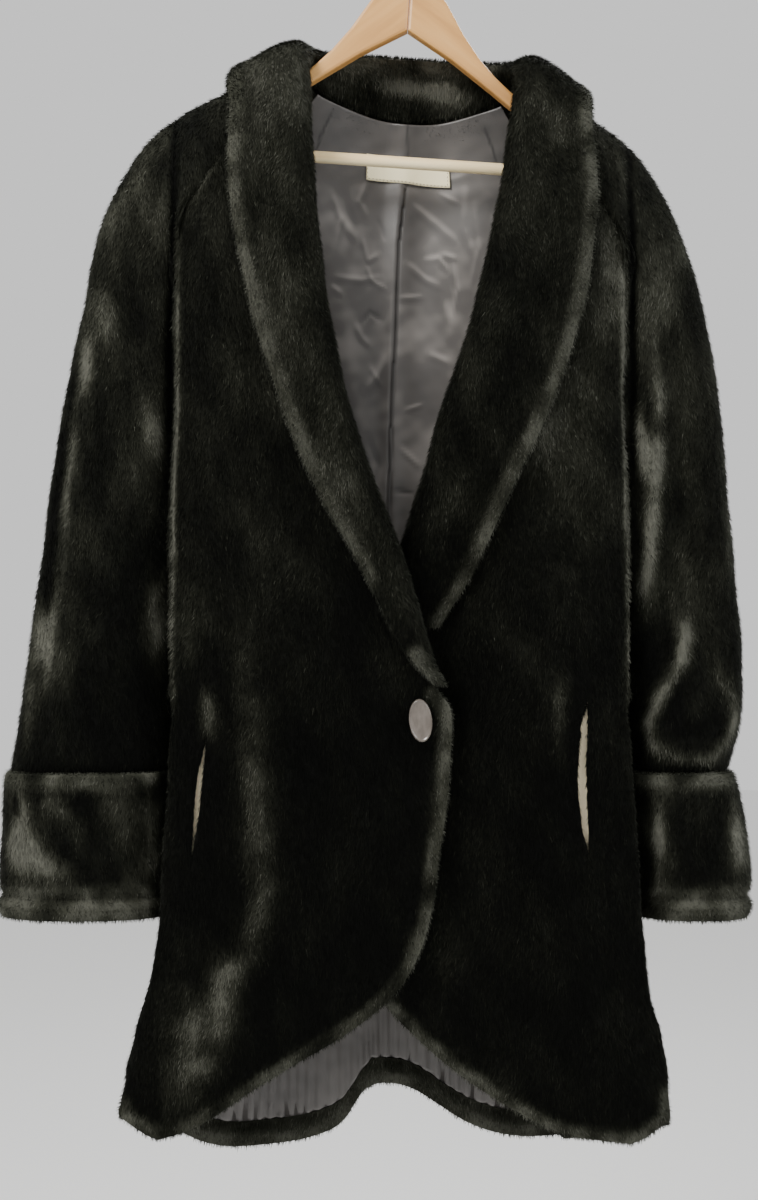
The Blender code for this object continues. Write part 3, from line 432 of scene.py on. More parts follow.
def along_crease(points, path, wide):
    """1 on the path and 0 away from it, with ends that fade."""
    gap, share = along_path(points[:, [0, 2]], path)
    return np.exp(-((gap / wide) ** 2)) * np.sin(np.pi * np.clip(share, 0.02, 0.98)) ** 0.6


print("a path:", path_of("0,0 10,-20"))

# %% Lay a crease
SIDE_LINE = 8.0
HALF_BLEND = (-6, 10)


def half_share(points, facing):
    """1 on the front half (facing -1) or the back half (facing 1), and 0 on the other."""
    return ease(*HALF_BLEND, facing * (points[:, 1] - SIDE_LINE))


def lay_creases(points, creases, facing):
    """Moves the front half (facing -1) or the back half (facing 1) along its creases."""
    points = points.copy()
    half = half_share(points, facing)
    for path, wide, high in creases:
        points[:, 1] += facing * high * half * along_crease(points, path, wide)
    return points


print("the halves meet", SIDE_LINE, "mm behind the hook")

# %% Lap the side seams
SIDE_SEAM = 5.3
SEAM_NEAR = 1.5
SIDES_FROM = 150
ARMHOLE_FOOT = -400
SIDE_LAP = 1.1


def lap_sides(points, node):
    """The side seams lap over by a little, so that no light shows through them."""
    at_seam = np.abs(points[:, 1] - SIDE_SEAM) < SEAM_NEAR
    at_side = at_seam & (np.abs(points[:, 0]) > SIDES_FROM) & (points[:, 2] < ARMHOLE_FOOT)
    points[at_side, 1] += SIDE_LAP * {"front": 1, "back": -1}.get(node.split("_")[0], 0)
    return points


print("side seams lap over by", 2 * SIDE_LAP, "mm")

# %% Creases of the fronts
FRONT_CREASES = drawn("""
15 3.5: -160,-677 -149,-739 -143,-813 -138,-886 -149,-945 -171,-1015 -195,-1066
20 -3: -118,-700 -112,-800 -110,-900 -122,-1000
24 2: -134,-574 -139,-664 -143,-740
26 -2.5: -86,-560 -74,-660 -66,-760 -72,-880
8 2.5: -176,-221 -188,-234 -197,-251
8 2.5: 172,-236 178,-252 181,-272
22 3: 131,-628 127,-719 120,-855 104,-972
20 3: 150,-880 140,-960 118,-1050
22 -2.5: 90,-820 84,-920 70,-1010
26 -2: 112,-420 120,-520 118,-600
5 2.2: -214,-285 -216,-350 -215,-440 -219,-520 -220,-640 -217,-760
5 2.2: 184,-305 189,-350 188,-440 192,-540 192,-640 192,-740
4 -2.5: -184,-222 -199,-243 -213,-268
""")
print(len(FRONT_CREASES), "creases on the fronts")

# %% Creases of the collar
COLLAR_CREASES = drawn("""
14 -1.8: -148,-226 -138,-316 -117,-405 -95,-485
12 2: -161,-153 -158,-189 -149,-225
13 -1.5: -110,-110 -104,-160 -102,-220
14 -1.8: 128,-182 125,-271 110,-360 85,-450
12 1.6: 93,-253 85,-325 73,-396
13 1.6: 118,-120 108,-165 100,-210
""")
print(len(COLLAR_CREASES), "creases on the collar")

# %% Creases of the sleeves and cuffs
SLEEVE_CREASES = drawn("""
9 -3.5: -309,-350 -315,-420 -324,-489 -331,-581 -339,-684 -350,-770
4.5 -7: -222,-160 -221,-220 -221,-290 -224,-360 -226,-440 -230,-540
4.5 -7: 199,-190 197,-250 198,-310 200,-400 201,-520
13 3: -295,-340 -300,-430 -308,-540 -318,-660 -330,-760
18 -2.5: -254,-305 -261,-407 -265,-508
20 2.5: -282,-536 -287,-628 -294,-739
14 2: -246,-560 -247,-639 -249,-700
16 -2: -236,-196 -262,-232 -279,-285
8 4.5: 219,-390 223,-450 223,-500 217,-580 207,-655
5 2.5: 204,-440 208,-480 211,-520
13 -3.5: 240,-400 234,-480 240,-560 232,-620
18 2: 238,-300 246,-360 252,-420
16 2.5: 264,-461 272,-554 275,-628
8 5: 240,-630 247,-662 246,-682 229,-711 217,-738 222,-764
7 -3.5: 229,-660 230,-680 218,-700
7 4.5: 218,-762 243,-770 270,-776 293,-752 300,-726
8 -4: 236,-744 256,-752 276,-744
9 -3.5: 262,-660 272,-690 280,-721
10 3: 292,-650 298,-690 302,-730
6 -3: 262,-772 284,-777 304,-779
12 -2.5: -298,-800 -295,-890
12 2.5: -352,-799 -358,-841 -347,-887
11 2: -330,-805 -322,-850 -326,-890
12 2: -272,-800 -268,-860
10 2: 238,-800 235,-851 240,-892
10 -2: 279,-800 285,-860
""")
print(len(SLEEVE_CREASES), "creases on the sleeves and cuffs")

# %% Creases of the hidden side
BACK_CREASES = drawn("""
24 3: -96,-300 -104,-420 -100,-560 -110,-700
22 -2.5: 72,-330 84,-460 92,-590
16 2: 8,-240 2,-330 6,-420
26 3.5: -30,-640 -38,-780 -34,-930 -44,-1040
24 -3: 38,-700 44,-830 52,-980 50,-1060
24 3.5: 118,-640 124,-780 134,-930 140,-1060
22 -3: -130,-760 -138,-900 -150,-1040
14 2: -176,-400 -150,-430 -120,-440
14 2: 150,-410 128,-446 100,-470
18 3: -262,-300 -272,-400 -276,-500
14 -3: -306,-520 -312,-640 -326,-750
10 3: -262,-620 -282,-660 -296,-670
16 -2.5: 230,-330 240,-420 244,-520
14 3: 262,-560 268,-650 272,-740
9 -3: 226,-650 246,-690 270,-700
12 2: -330,-800 -334,-880
11 2: 258,-800 262,-880
""")
print(len(BACK_CREASES), "creases on the back")

# %% [markdown]
# ## Plush
# Sheared plush is millions of fibres, far too many to build. They stick together in fine locks
# under a millimetre wide, though, and those can be built: each lock is one slim blade, rooted
# in the backing, leaning down the nap and ending at the imported surface. Blades alone would
# glitter, because each flat one faces its own way. Cloth like this shades as one surface, dark
# where it is seen straight on and paler where light grazes it, so every blade borrows the
# shading direction of the cloth below it. One number, the tone, says how pale the pile is at a
# place, from black where it lies flat to grey where it was stroked against the nap. The tone
# also holds painted light: painted sheen along the free edges, over the upper parts and on
# folds, and painted shade in creases, seams and slits, at the roots and on the backing.

# %% Patterns and ramps for any material
def add_node(tree, kind, **constants):
    """A shader node with its constant inputs set."""
    made = tree.nodes.new("ShaderNode" + kind)
    for key, value in constants.items():
        made.inputs[key].default_value = value
    return made


def stored(tree, key):
    """A value kept on the mesh, for its material to read."""
    value = add_node(tree, "Attribute")
    value.attribute_name = key
    return value.outputs["Fac"]


def colours_from(tree, value, shader, stops):
    """Colours a surface by a value, through a ramp."""
    ramp = add_node(tree, "ValToRGB")
    while len(ramp.color_ramp.elements) < len(stops):
        ramp.color_ramp.elements.new(0.5)
    for element, (place, colour) in zip(ramp.color_ramp.elements, stops):
        element.position = place
        element.color = (*colour, 1)
    tree.links.new(value, ramp.inputs["Fac"])
    tree.links.new(ramp.outputs["Color"], shader.inputs["Base Color"])


def bump_from(tree, shader, height, strength, deep):
    """Lets a height pattern tilt the shading, as if it stood that far out."""
    bump = add_node(tree, "Bump", Strength=strength, Distance=deep * MM)
    tree.links.new(height, bump.inputs["Height"])
    tree.links.new(bump.outputs["Normal"], shader.inputs["Normal"])


def noise(tree, stretch, scale, detail=3.0, turn=0.0):
    """A noise pattern in the piece's own place, stretched along its axes once those are turned."""
    mapping = add_node(tree, "Mapping", Scale=stretch, Rotation=(0, turn, 0))
    mapping.vector_type = "TEXTURE"
    pattern = add_node(tree, "TexNoise", Scale=scale, Detail=detail)
    tree.links.new(add_node(tree, "TexCoord").outputs["Object"], mapping.inputs["Vector"])
    tree.links.new(mapping.outputs["Vector"], pattern.inputs["Vector"])
    return pattern.outputs["Fac"]


print("pattern tools ready")

# %% Plush pile and backing
PLUSH_TONES = [(0.0, (0.0007, 0.0008, 0.0004)), (0.25, (0.0022, 0.0025, 0.0014)),
               (0.5, (0.0095, 0.0101, 0.0066)), (0.75, (0.0310, 0.0320, 0.0235)),
               (1.0, (0.1020, 0.1030, 0.0840))]


def plush_material(name, sheen):
    """Nearly black and matt, with a faint green-grey bloom where light grazes it."""
    bloom = [("Specular IOR Level", 0.07), ("Sheen Weight", sheen), ("Sheen Roughness", 0.35),
             ("Sheen Tint", (0.64, 0.68, 0.54, 1))]
    made, shader = plain_material(name, PLUSH_TONES[2][1], 0.75, bloom)
    colours_from(made.node_tree, stored(made.node_tree, "tone"), shader, PLUSH_TONES)
    return made, shader


PILE, _ = plush_material("plush_pile", 0.11)
BACKING, backing_shader = plush_material("plush_backing", 0.06)
bump_from(BACKING.node_tree, backing_shader, noise(BACKING.node_tree, (1, 1, 3.0), 1400), 0.8, 1.0)
print("plush tones:", len(PLUSH_TONES))

# %% Scatter roots on a shell
SAME_WAY = 0.3
GROWS_FROM = (0.03, 0.2)


def outer_normals(points, corners, looks):
    """Vertex normals from the outer faces alone, so that no seam edge tilts the pile."""
    a, b, c = (points[corners[:, i]] for i in range(3))
    faces = np.cross(b - a, c - a)
    total = np.zeros_like(points)
    for i in range(3):
        vertex = corners[:, i]
        agrees = (unit(faces) * looks[vertex]).sum(axis=1) > SAME_WAY
        np.add.at(total, vertex[agrees], faces[agrees])
    return unit(total + 1e-6 * looks), np.linalg.norm(faces, axis=1) / 2


def scatter(mesh, count, dice):
    """Random roots on the faces that daylight reaches: place, normal and rim distance."""
    mesh.calc_loop_triangles()
    corners = read(mesh.loop_triangles, "vertices", 3, int)
    points = read_points(mesh)
    normals, area = outer_normals(points, corners, read(mesh.attributes["looks"].data, "vector", 3))
    area *= ease(*GROWS_FROM, read_value(mesh, "daylight")[corners].mean(axis=1))
    pick = dice.choice(len(corners), count, p=area / area.sum())
    u, v = dice.random(count), dice.random(count)
    over = u + v > 1
    u[over], v[over] = 1 - u[over], 1 - v[over]
    share = np.stack([1 - u - v, u, v], axis=1)
    place = (points[corners[pick]] * share[..., None]).sum(axis=1)
    normal = unit((normals[corners[pick]] * share[..., None]).sum(axis=1))
    rim = (read_value(mesh, "rim")[corners[pick]] * share).sum(axis=1)
    print(mesh.name, count, "roots,", round(area.sum() / count, 2), "mm2 each")
    return place, normal, rim


print("scatter ready")

# %% Comb the blades
DOWN = np.array([0.0, 0.0, -1.0])
SWIRL = [(0.22, 50), (0.16, 5)]
GRAIN_SIZE = 5
LEAN_UNEVEN = 0.06
COMB_UNEVEN = 0.02
WAY_UNEVEN = 0.10


def blade_ways(place, normal, lean, seed, dice):
    """Which way each blade points: lean 0 stands up, lean 1 lies down the nap."""
    count = len(place)
    down = unit(DOWN - normal * (normal @ DOWN)[:, None] + COMB_UNEVEN * dice.normal(size=(count, 3)))
    side = np.cross(normal, down)
    swirl = sum(turn * ripple(place, size, seed + 1 + i) for i, (turn, size) in enumerate(SWIRL))
    comb = unit(down * np.cos(swirl)[:, None] + side * np.sin(swirl)[:, None])
    uneven = LEAN_UNEVEN * ripple(place, GRAIN_SIZE, seed + 3) + LEAN_UNEVEN * dice.normal(size=count)
    lean = np.clip(lean + uneven, 0.02, 0.95)[:, None]
    return unit(normal * (1 - lean) + comb * lean + WAY_UNEVEN * dice.normal(size=(count, 3)))


print("the nap turns by up to", round(math.degrees(sum(turn for turn, _ in SWIRL))), "degrees")

# %% Cut the blades
PILE_DEEP = 3.2
BLADE_LONG = 5.8
BLADE_WIDE = 0.78


def blade_corners(place, normal, way, dice):
    """Three corners a blade: two at the root and one at the tip, wound to face outwards."""
    count = len(place)
    reach = np.minimum(BLADE_LONG, PILE_DEEP / np.maximum((way * normal).sum(axis=1), 0.3))
    long = (reach * dice.uniform(0.8, 1.12, count))[:, None]
    wider = 1
    half = (0.5 * wider * BLADE_WIDE * dice.uniform(0.6, 1.3, count))[:, None]
    across = unit(np.cross(way, normal) + 0.3 * dice.normal(size=(count, 3)))
    outward = (np.cross(across, way) * normal).sum(axis=1, keepdims=True)
    across *= np.where(outward < 0, -1, 1)
    return np.stack([place - across * half, place + across * half, place + way * long], axis=1)


print("blades are", BLADE_LONG, "mm long and", BLADE_WIDE, "mm wide")

# %% Make a mesh of blades
def bake_cells(mesh, count):
    """A map for export in which each blade has a small cell of its own."""
    across = math.ceil(math.sqrt(count))
    cell = np.stack([np.arange(count) % across, np.arange(count) // across], axis=1) / across
    corner = np.array([(0.1, 0.1), (0.9, 0.1), (0.5, 0.9)]) / across
    chart = mesh.uv_layers.new(name="OFBake")
    chart.data.foreach_set("uv", (cell[:, None] + corner[None]).ravel())


def blades_mesh(name, corners, tones, shading):
    """Loose triangles with a tone and a shading direction at each corner."""
    count = len(corners)
    mesh = bpy.data.meshes.new(name)
    mesh.vertices.add(count * 3)
    mesh.loops.add(count * 3)
    mesh.polygons.add(count)
    mesh.vertices.foreach_set("co", (corners * MM).ravel())
    mesh.loops.foreach_set("vertex_index", np.arange(count * 3))
    mesh.polygons.foreach_set("loop_start", np.arange(count) * 3)
    keep_values(mesh, "tone", tones.ravel())
    mesh.update(calc_edges=True)
    mesh.normals_split_custom_set_from_vertices(np.repeat(shading, 3, axis=0))
    bake_cells(mesh, count)
    return mesh


print("blade mesh ready")

# %% Grow the pile of a panel
GRAIN = [1.0, 1.0, 2.2]
TONE_UNEVEN = (0.12, 0.06)
# Painted shade: how much darker the blades are at their roots, deep in the pile.
ROOT_PAINTED_SHADE = 0.16
SHADING_LEAN = 0.30
SHADING_UNEVEN = 0.16


def make_pile(shell, count, seed, lean_of, tone_of):
    """The pile of one panel, as a child of its shell."""
    dice = np.random.default_rng(seed)
    place, normal, rim = scatter(shell.data, count, dice)
    way = blade_ways(place, normal, lean_of(place, rim), seed, dice)
    corners = blade_corners(place, normal, way, dice)
    single, grain = TONE_UNEVEN
    tone = tone_of(place, rim) + single * dice.normal(size=count)
    tone += grain * ripple(place * GRAIN, GRAIN_SIZE, seed + 4)
    # Painted shade: each blade is darker at its two root corners than at its tip.
    tones = np.clip(np.stack([tone - ROOT_PAINTED_SHADE, tone - ROOT_PAINTED_SHADE, tone], axis=1), 0, 1)
    shading = unit(normal + SHADING_LEAN * way + SHADING_UNEVEN * dice.normal(size=(count, 3)))
    name = shell.name.replace("plush", "pile")
    pile = add_object(name, blades_mesh(name, corners, tones, shading))
    pile.data.materials.append(PILE)
    pile.parent = shell
    return pile


print("roots are", ROOT_PAINTED_SHADE, "darker than tips")

# %% [markdown]
# ## Rims
# At a free edge the backing turns over and its pile stands straight up. Seen from the front,
# light grazes the pile there. A pale soft band of painted sheen stands for that along the
# collar, the leading edges, the hems and the cuffs. A rim is found as a place where the shell
# turns sharply with open air in front of it, and every blade then knows how far it is from one.
# Folds and slits turn sharply too, and are left out.

# %% Where the edges are free
SIDE_FOLDS = (-180, 150)
SIDE_HEM = -1080
POCKET_SLITS = [path_of("-180,-742 -184,-790 -195,-862"), path_of("139,-702 139,-780 138,-862")]
SLIT_EDGE = 10.0
COLLAR_MIDDLE = [
    [(-690, -16), (-560, -62), (-450, -96), (-350, -118), (-250, -136), (-100, -128)],
    [(-690, -4), (-560, 30), (-450, 68), (-350, 92), (-250, 108), (-100, 100)],
]


def outside_collar_middle(points):
    """Only the outer half of the collar ends in a free edge; its inner half rolls over."""
    middle = [np.interp(points[:, 2], [z for z, _ in line], [x for _, x in line]) for line in COLLAR_MIDDLE]
    return (points[:, 0] < middle[0]) | (points[:, 0] > middle[1]) | (points[:, 1] > 20)


def on_free_edge(points):
    """The body turns sharply at its side folds and pocket slits too, but has no free edge there."""
    free = (points[:, 2] < SIDE_HEM) | ((points[:, 0] > SIDE_FOLDS[0]) & (points[:, 0] < SIDE_FOLDS[1]))
    for slit in POCKET_SLITS:
        free &= along_path(points[:, [0, 2]], slit)[0] > 2 * SLIT_EDGE
    return free


print("pocket slits:", len(POCKET_SLITS))

# %% Find the rims of a shell
RIM_TURN = 0.16
RIM_LIGHT = 0.3
RIM_FADE = (6.3, 17.85)
FAR = 1000.0


def rim_distance(mesh, kind):
    """Each vertex's distance to the nearest free edge, in millimetres, kept on the mesh."""
    points, normals = read_points(mesh), read(mesh.vertex_normals, "vector", 3)
    a, b = read(mesh.edges, "vertices", 2, int).T
    turn = np.arccos(np.clip((normals[a] * normals[b]).sum(axis=1), -1, 1))
    turn /= np.maximum(np.linalg.norm(points[a] - points[b], axis=1), 0.5)
    sharpest = np.zeros(len(points))
    np.maximum.at(sharpest, a, turn)
    np.maximum.at(sharpest, b, turn)
    found = (sharpest > RIM_TURN) & (read_value(mesh, "least_light") > RIM_LIGHT)
    if kind == "collar":
        found &= outside_collar_middle(points)
    if kind in ("front", "back"):
        found &= on_free_edge(points)
    if kind == "sleeve":
        found[:] = False
    rims = points[found]
    tree = tree_of(rims)
    gap = np.array([tree.find(place)[2] for place in points]) if len(rims) else np.full(len(points), FAR)
    keep_values(mesh, "rim", gap)
    return len(rims)


def rim_share(rim):
    """1 on a rim, and 0 away from it."""
    return 1 - ease(*RIM_FADE, rim)


print("rims turn faster than", round(math.degrees(RIM_TURN) * 10), "degrees in 10 mm")

# %% [markdown]
# ## Nap marks, painted sheen and painted shade
# A hand that strokes plush leaves paler marks where the pile stands up, and the pile stands up
# under the pale marks. Their paleness is partly those nap marks and partly a painted sheen along
# folds. The marks that darken are painted shade in creases, seams and pocket slits. They follow
# the creases and the pocket slits, and they cover the shoulders, the sleeves and the cuffs in
# soft patches. Each row gives a mark's width, how much paler it makes the pile, and its path.

# %% Marks on the fronts
FRONT_NAP_AND_PAINTED_LIGHT = drawn("""
4 0.24: -217,-300 -217,-440 -221,-560 -222,-700 -227,-860
4 0.24: 187,-300 190,-440 193,-560 194,-700 199,-860
15 0.38: -164,-629 -157,-658 -149,-739 -143,-813 -138,-886 -149,-945 -166,-974 -171,-1015 -195,-1066
20 0.34: -175,-923 -171,-960 -184,-996 -199,-1052 -210,-1088
10 0.16: -218,-600 -190,-640 -166,-690
24 0.24: -206,-960 -218,-1020 -226,-1060 -234,-1110
14 0.22: 178,-250 176,-320 172,-400
9 0.42: -192,-700 -188,-732 -184,-760
10 0.25: -206,-620 -204,-650 -202,-690
8 0.3: 131,-680 130,-730 131,-783
14 0.14: 139,-592 135,-614
15 -0.16: -184,-740 -187,-790 -196,-862
10 -0.2: 146,-700 147,-780 146,-862
2.4 0.34: -215,-285 -217,-350 -216,-440 -220,-520 -221,-640 -218,-760
2.4 0.34: 186,-300 190,-350 189,-440 193,-540 193,-640 193,-740
2.6 -0.3: -186,-220 -201,-240 -215,-266
5 0.16: -180,-226 -196,-246 -208,-270
16 0.1: -150,-470 -146,-560 -150,-620
6 0.22: -176,-221 -192,-234 -207,-251 -214,-275
6 0.2: 172,-236 182,-256 190,-276
20 0.08: 30,-740 36,-860 10,-1000
30 0.2: 126,-390 130,-460 120,-540
26 0.05: -70,-620 -110,-590 -150,-560
""")
print(len(FRONT_NAP_AND_PAINTED_LIGHT), "marks on the fronts")

# %% Marks on the collar
COLLAR_NAP_AND_PAINTED_LIGHT = drawn("""
26 0.1: -140,-90 -150,-150 -146,-200
20 0.08: -100,-90 -98,-150 -104,-220
18 0.14: -128,-260 -116,-350 -96,-430
16 0.2: -86,-450 -60,-530 -34,-600
26 0.1: 96,-110 104,-160 100,-220
16 0.16: 130,-170 128,-240
14 0.14: 40,-520 20,-570
10 0.24: -60,-118 -10,-132 40,-140 80,-146
""")
print(len(COLLAR_NAP_AND_PAINTED_LIGHT), "marks on the collar")

# %% Marks on the sleeves and cuffs
SLEEVE_NAP_AND_PAINTED_LIGHT = drawn("""
5 -0.3: -314,-400 -328,-480 -338,-560 -343,-640
7 0.34: -304,-390 -314,-450 -321,-520 -329,-619 -342,-705
10 0.46: -346,-620 -356,-690 -364,-778
8 0.26: -336,-620 -340,-680 -344,-730
3.5 -0.5: -222,-160 -221,-220 -221,-290 -224,-360 -226,-440 -230,-540
3.5 -0.5: 199,-190 197,-250 198,-310 200,-400 201,-520
9 0.12: -296,-345 -301,-430 -309,-540 -318,-660 -330,-760
24 0.16: -225,-170 -255,-205 -280,-250 -290,-300
20 0.08: -236,-200 -244,-260 -250,-330
16 -0.12: -262,-285 -258,-340 -262,-400
9 0.26: -302,-380 -306,-445
10 0.22: -286,-340 -283,-390 -276,-430
11 0.36: -240,-605 -241,-645 -238,-690
12 0.1: -242,-420 -240,-520
8 -0.2: -400,-789 -320,-789 -230,-789
8 -0.16: 200,-789 260,-789 330,-789
11 0.4: -366,-800 -370,-850 -366,-896
11 0.38: -346,-806 -332,-814 -316,-832
11 0.34: -342,-838 -352,-856 -334,-874 -306,-890
6 -0.3: -330,-850 -316,-862
8 -0.3: -312,-806 -306,-822
4 -0.4: -370,-806 -368,-830
10 0.34: -246,-810 -244,-860 -248,-896
9 0.24: -270,-872 -258,-896
24 0.12: 208,-194 234,-231 254,-286
5 0.5: 204,-440 208,-480 211,-520
8 0.46: 219,-390 223,-450 223,-500 217,-580 207,-655
7 0.24: 219,-540 215,-590 209,-630
16 0.16: 270,-280 282,-350 290,-430
9 0.22: 285,-472 293,-532 292,-600 300,-640
8 0.54: 240,-630 247,-662 246,-682 229,-711 217,-738 222,-764
8 0.2: 250,-640 254,-668
7 0.5: 218,-762 243,-770 270,-776 293,-752 300,-726
9 0.26: 272,-684 292,-716 301,-750
6 0.4: 210,-735 216,-760 226,-778
8 -0.2: 238,-740 256,-748 272,-740
7 0.46: 226,-800 224,-850 228,-896
8 0.46: 292,-800 299,-850 302,-896
""")
print(len(SLEEVE_NAP_AND_PAINTED_LIGHT), "marks on the sleeves and cuffs")

# %% Marks on the back half
BACK_NAP_AND_PAINTED_LIGHT = drawn("""
22 0.2: -100,-290 -106,-420 -102,-560
20 0.22: 90,-420 98,-560 104,-700
16 0.24: -36,-640 -40,-800 -38,-960
16 0.26: 128,-700 134,-860 142,-1020
20 0.22: -150,-900 -156,-1000 -160,-1080
24 0.14: 0,-230 -4,-320 4,-400
12 0.2: -176,-400 -150,-430 -120,-440
12 0.2: 150,-410 128,-446 100,-470
26 0.26: -240,-200 -268,-260 -280,-330
26 0.24: 212,-200 240,-260 250,-330
10 0.26: -262,-612 -284,-652 -300,-662
14 0.2: -316,-560 -326,-680
10 0.28: 226,-642 246,-682 272,-692
14 0.2: 258,-480 264,-580
14 0.28: -340,-830 -320,-860 -290,-870
13 0.26: 250,-820 276,-850
10 0.5: -58,-124 -20,-134 30,-140 70,-150
8 0.2: -50,-98 -10,-104 20,-102
""")
print(len(BACK_NAP_AND_PAINTED_LIGHT), "marks on the back half")

# %% How pale the marks make a place
PATCH_SIZE = 26


def patchy(place, middle, swing, seed, low, high):
    """Breaks an even tone into patches as broad as a hand's edge."""
    return np.clip(middle + swing * ripple(place, PATCH_SIZE, seed), low, high)


def nap_and_painted_light_at(place, marks, facing):
    """How much paler the nap marks and painted sheen of one half make each place, in broken patches; a mark
    of painted shade makes it darker.
    """
    tone = np.zeros(len(place))
    for path, wide, pale in marks:
        tone += pale * along_crease(place, path, wide)
    return tone * patchy(place, 0.95, 0.24, 77, 0.5, 1.4) * half_share(place, facing)


print("patches of", PATCH_SIZE, "mm")

# %% [markdown]
# ## The plush panels
# Each row dresses one panel: how many blades it carries, how pale and how mottled its pile is,
# and the rectangle that it was cut from (width and length, in metres) with its flat area.

# %% Make room for the pile
DRAWN_IN = (0.05, 0.3)
SLIT_HOLD = 0.1


def draw_in(mesh):
    """Makes room for the pile under the faces that daylight reaches, but widens no pocket slit."""
    points = read_points(mesh)
    deep = PILE_DEEP * ease(*DRAWN_IN, read_value(mesh, "daylight"))
    move = read(mesh.attributes["looks"].data, "vector", 3) * deep[:, None]
    for slit in POCKET_SLITS:
        gap, _ = along_path(points[:, [0, 2]], slit)
        move[:, 0] *= np.where(gap < SLIT_EDGE, SLIT_HOLD, 1)
    put_points(mesh, points - move)


print("panels move in by up to", PILE_DEEP, "mm")

# %% Dress one panel
ALONG_NAP = [1.0, 1.0, 0.45]
PATCHES = [(0.09, 34, 605), (0.04, 12, 606)]
# Painted light: how much paler the upper parts of each panel are, over a band of heights.
TOP_PAINTED_LIGHT = 0.30
TOP_PAINTED_LIGHT_BAND = (-860, -320)
# How strongly the nap marks, with their painted sheen and painted shade, change the tone.
NAP_AND_PAINTED_LIGHT_TONE = 1.6
# Painted sheen: how pale the pile is made in a band along each free edge.
RIM_PAINTED_SHEEN = 1.0
NAP_LEAN = 0.70
STANDS_UP = 0.30
# Painted shade: how much darker the backing is than the pile above it.
BACKING_PAINTED_SHADE = 0.12


def dress(node, blades, pale, mottled, flat, area, seed, creases, marks, slot):
    shell = soft_shell("plush_" + node, node, CAGES[node], 2, BACKING)
    draw_in(shell.data)
    rims = rim_distance(shell.data, node.split("_")[0])
    wandering = drifted(lap_sides(read_points(shell.data), node))
    points = lay_creases(lay_creases(wandering, creases, -1), BACK_CREASES, 1)
    put_points(shell.data, points)

    def tone_of(place, rim):
        patches = sum(much * ripple(place * ALONG_NAP, size, dice) for much, size, dice in PATCHES)
        # Painted light: paler towards the shoulders and the top of the collar, where light falls from above.
        high = TOP_PAINTED_LIGHT * ease(*TOP_PAINTED_LIGHT_BAND, place[:, 2])
        # Nap marks, with painted sheen along folds and painted shade in creases, seams and slits.
        marked = NAP_AND_PAINTED_LIGHT_TONE * (nap_and_painted_light_at(place, marks, -1) + nap_and_painted_light_at(place, BACK_NAP_AND_PAINTED_LIGHT, 1))
        inner = pale + mottled * patches + high + marked
        # Painted sheen: the pile turns paler towards each free edge, in broken patches.
        return inner + patchy(place, 0.82, 0.26, 607, 0.35, 1) * rim_share(rim) * (RIM_PAINTED_SHEEN - inner)

    def lean_of(place, rim):
        return NAP_LEAN - STANDS_UP * (rim_share(rim) + nap_and_painted_light_at(place, marks, -1))

    # Painted shade on the backing, below the pile.
    tones = tone_of(points, read_value(shell.data, "rim")) - BACKING_PAINTED_SHADE
    keep_values(shell.data, "tone", np.clip(tones, 0, 1))
    pile = make_pile(shell, blades, seed, lean_of, tone_of)
    cloth = sum(face.area for face in shell.data.polygons) / 2
    print(node, len(shell.data.polygons), "faces,", rims, "on rims,", round(cloth, 3), "m2 of cloth")


print("panels to dress:", len(PLUSH_NODES))

# %% Dress the plush panels
PANELS = [
    # node, blades, pale, mottled, cut from, flat area
    ("back", 110000, 0.20, 1.4, (0.50, 1.00), 0.42),
    ("front_left", 100000, 0.18, 1.2, (0.33, 0.97), 0.235),
    ("front_right", 100000, 0.24, 1.2, (0.33, 0.97), 0.235),
    ("sleeve_left", 65000, 0.23, 1.7, (0.36, 0.65), 0.19),
    ("sleeve_right", 58000, 0.26, 1.7, (0.33, 0.65), 0.17),
    ("cuff_left", 24000, 0.39, 2.6, (0.37, 0.145), 0.053),
    ("cuff_right", 20000, 0.36, 2.4, (0.29, 0.145), 0.042),
    ("collar_left", 62000, 0.30, 1.3, (0.17, 0.80), 0.095),
    ("collar_right", 62000, 0.19, 1.3, (0.17, 0.80), 0.095),
    ("facing_left", 6000, 0.50, 1.0, (0.045, 0.55), 0.024),
    ("facing_right", 6000, 0.50, 1.0, (0.045, 0.55), 0.024),
    ("hem_facing_back", 9000, 0.62, 1.0, (0.53, 0.030), 0.0159),
]
BODY = (FRONT_CREASES, FRONT_NAP_AND_PAINTED_LIGHT, "plush")
ARMS = (SLEEVE_CREASES, SLEEVE_NAP_AND_PAINTED_LIGHT, "plush")
INSIDE = (FRONT_CREASES, [], "plush_facing")
KINDS = {"back": BODY, "front": BODY, "sleeve": ARMS, "cuff": ARMS, "facing": INSIDE, "hem": INSIDE,
         "collar": (COLLAR_CREASES, COLLAR_NAP_AND_PAINTED_LIGHT, "plush")}
SEED_STEP = 10
for row, panel in enumerate(PANELS, 1):
    dress(*panel, row * SEED_STEP, *KINDS[panel[0].split("_")[0]])

# %% [markdown]
# ## The satin lining
# The lining is one thin sheet of satin behind the neck and down the back. It is cut wider than
# the coat, and the spare width lies in a pressed pleat down the middle and in gathers above the
# hem. Satin is stiff for its weight, so it breaks into short sharp creases. Its long floats of
# thread make a crease shine along one side, and here that is painted: each crease gets a painted
# highlight along one side and painted shade along the other. The sheet gets a finer grid where
# it shows, and then every crease is laid one by one.

# %% Refine a shell where it shows
LINING_GRID = 2.8
HEM_GRID = 3.64
ROUNDS = 3
LOOKS_OUT = -0.3


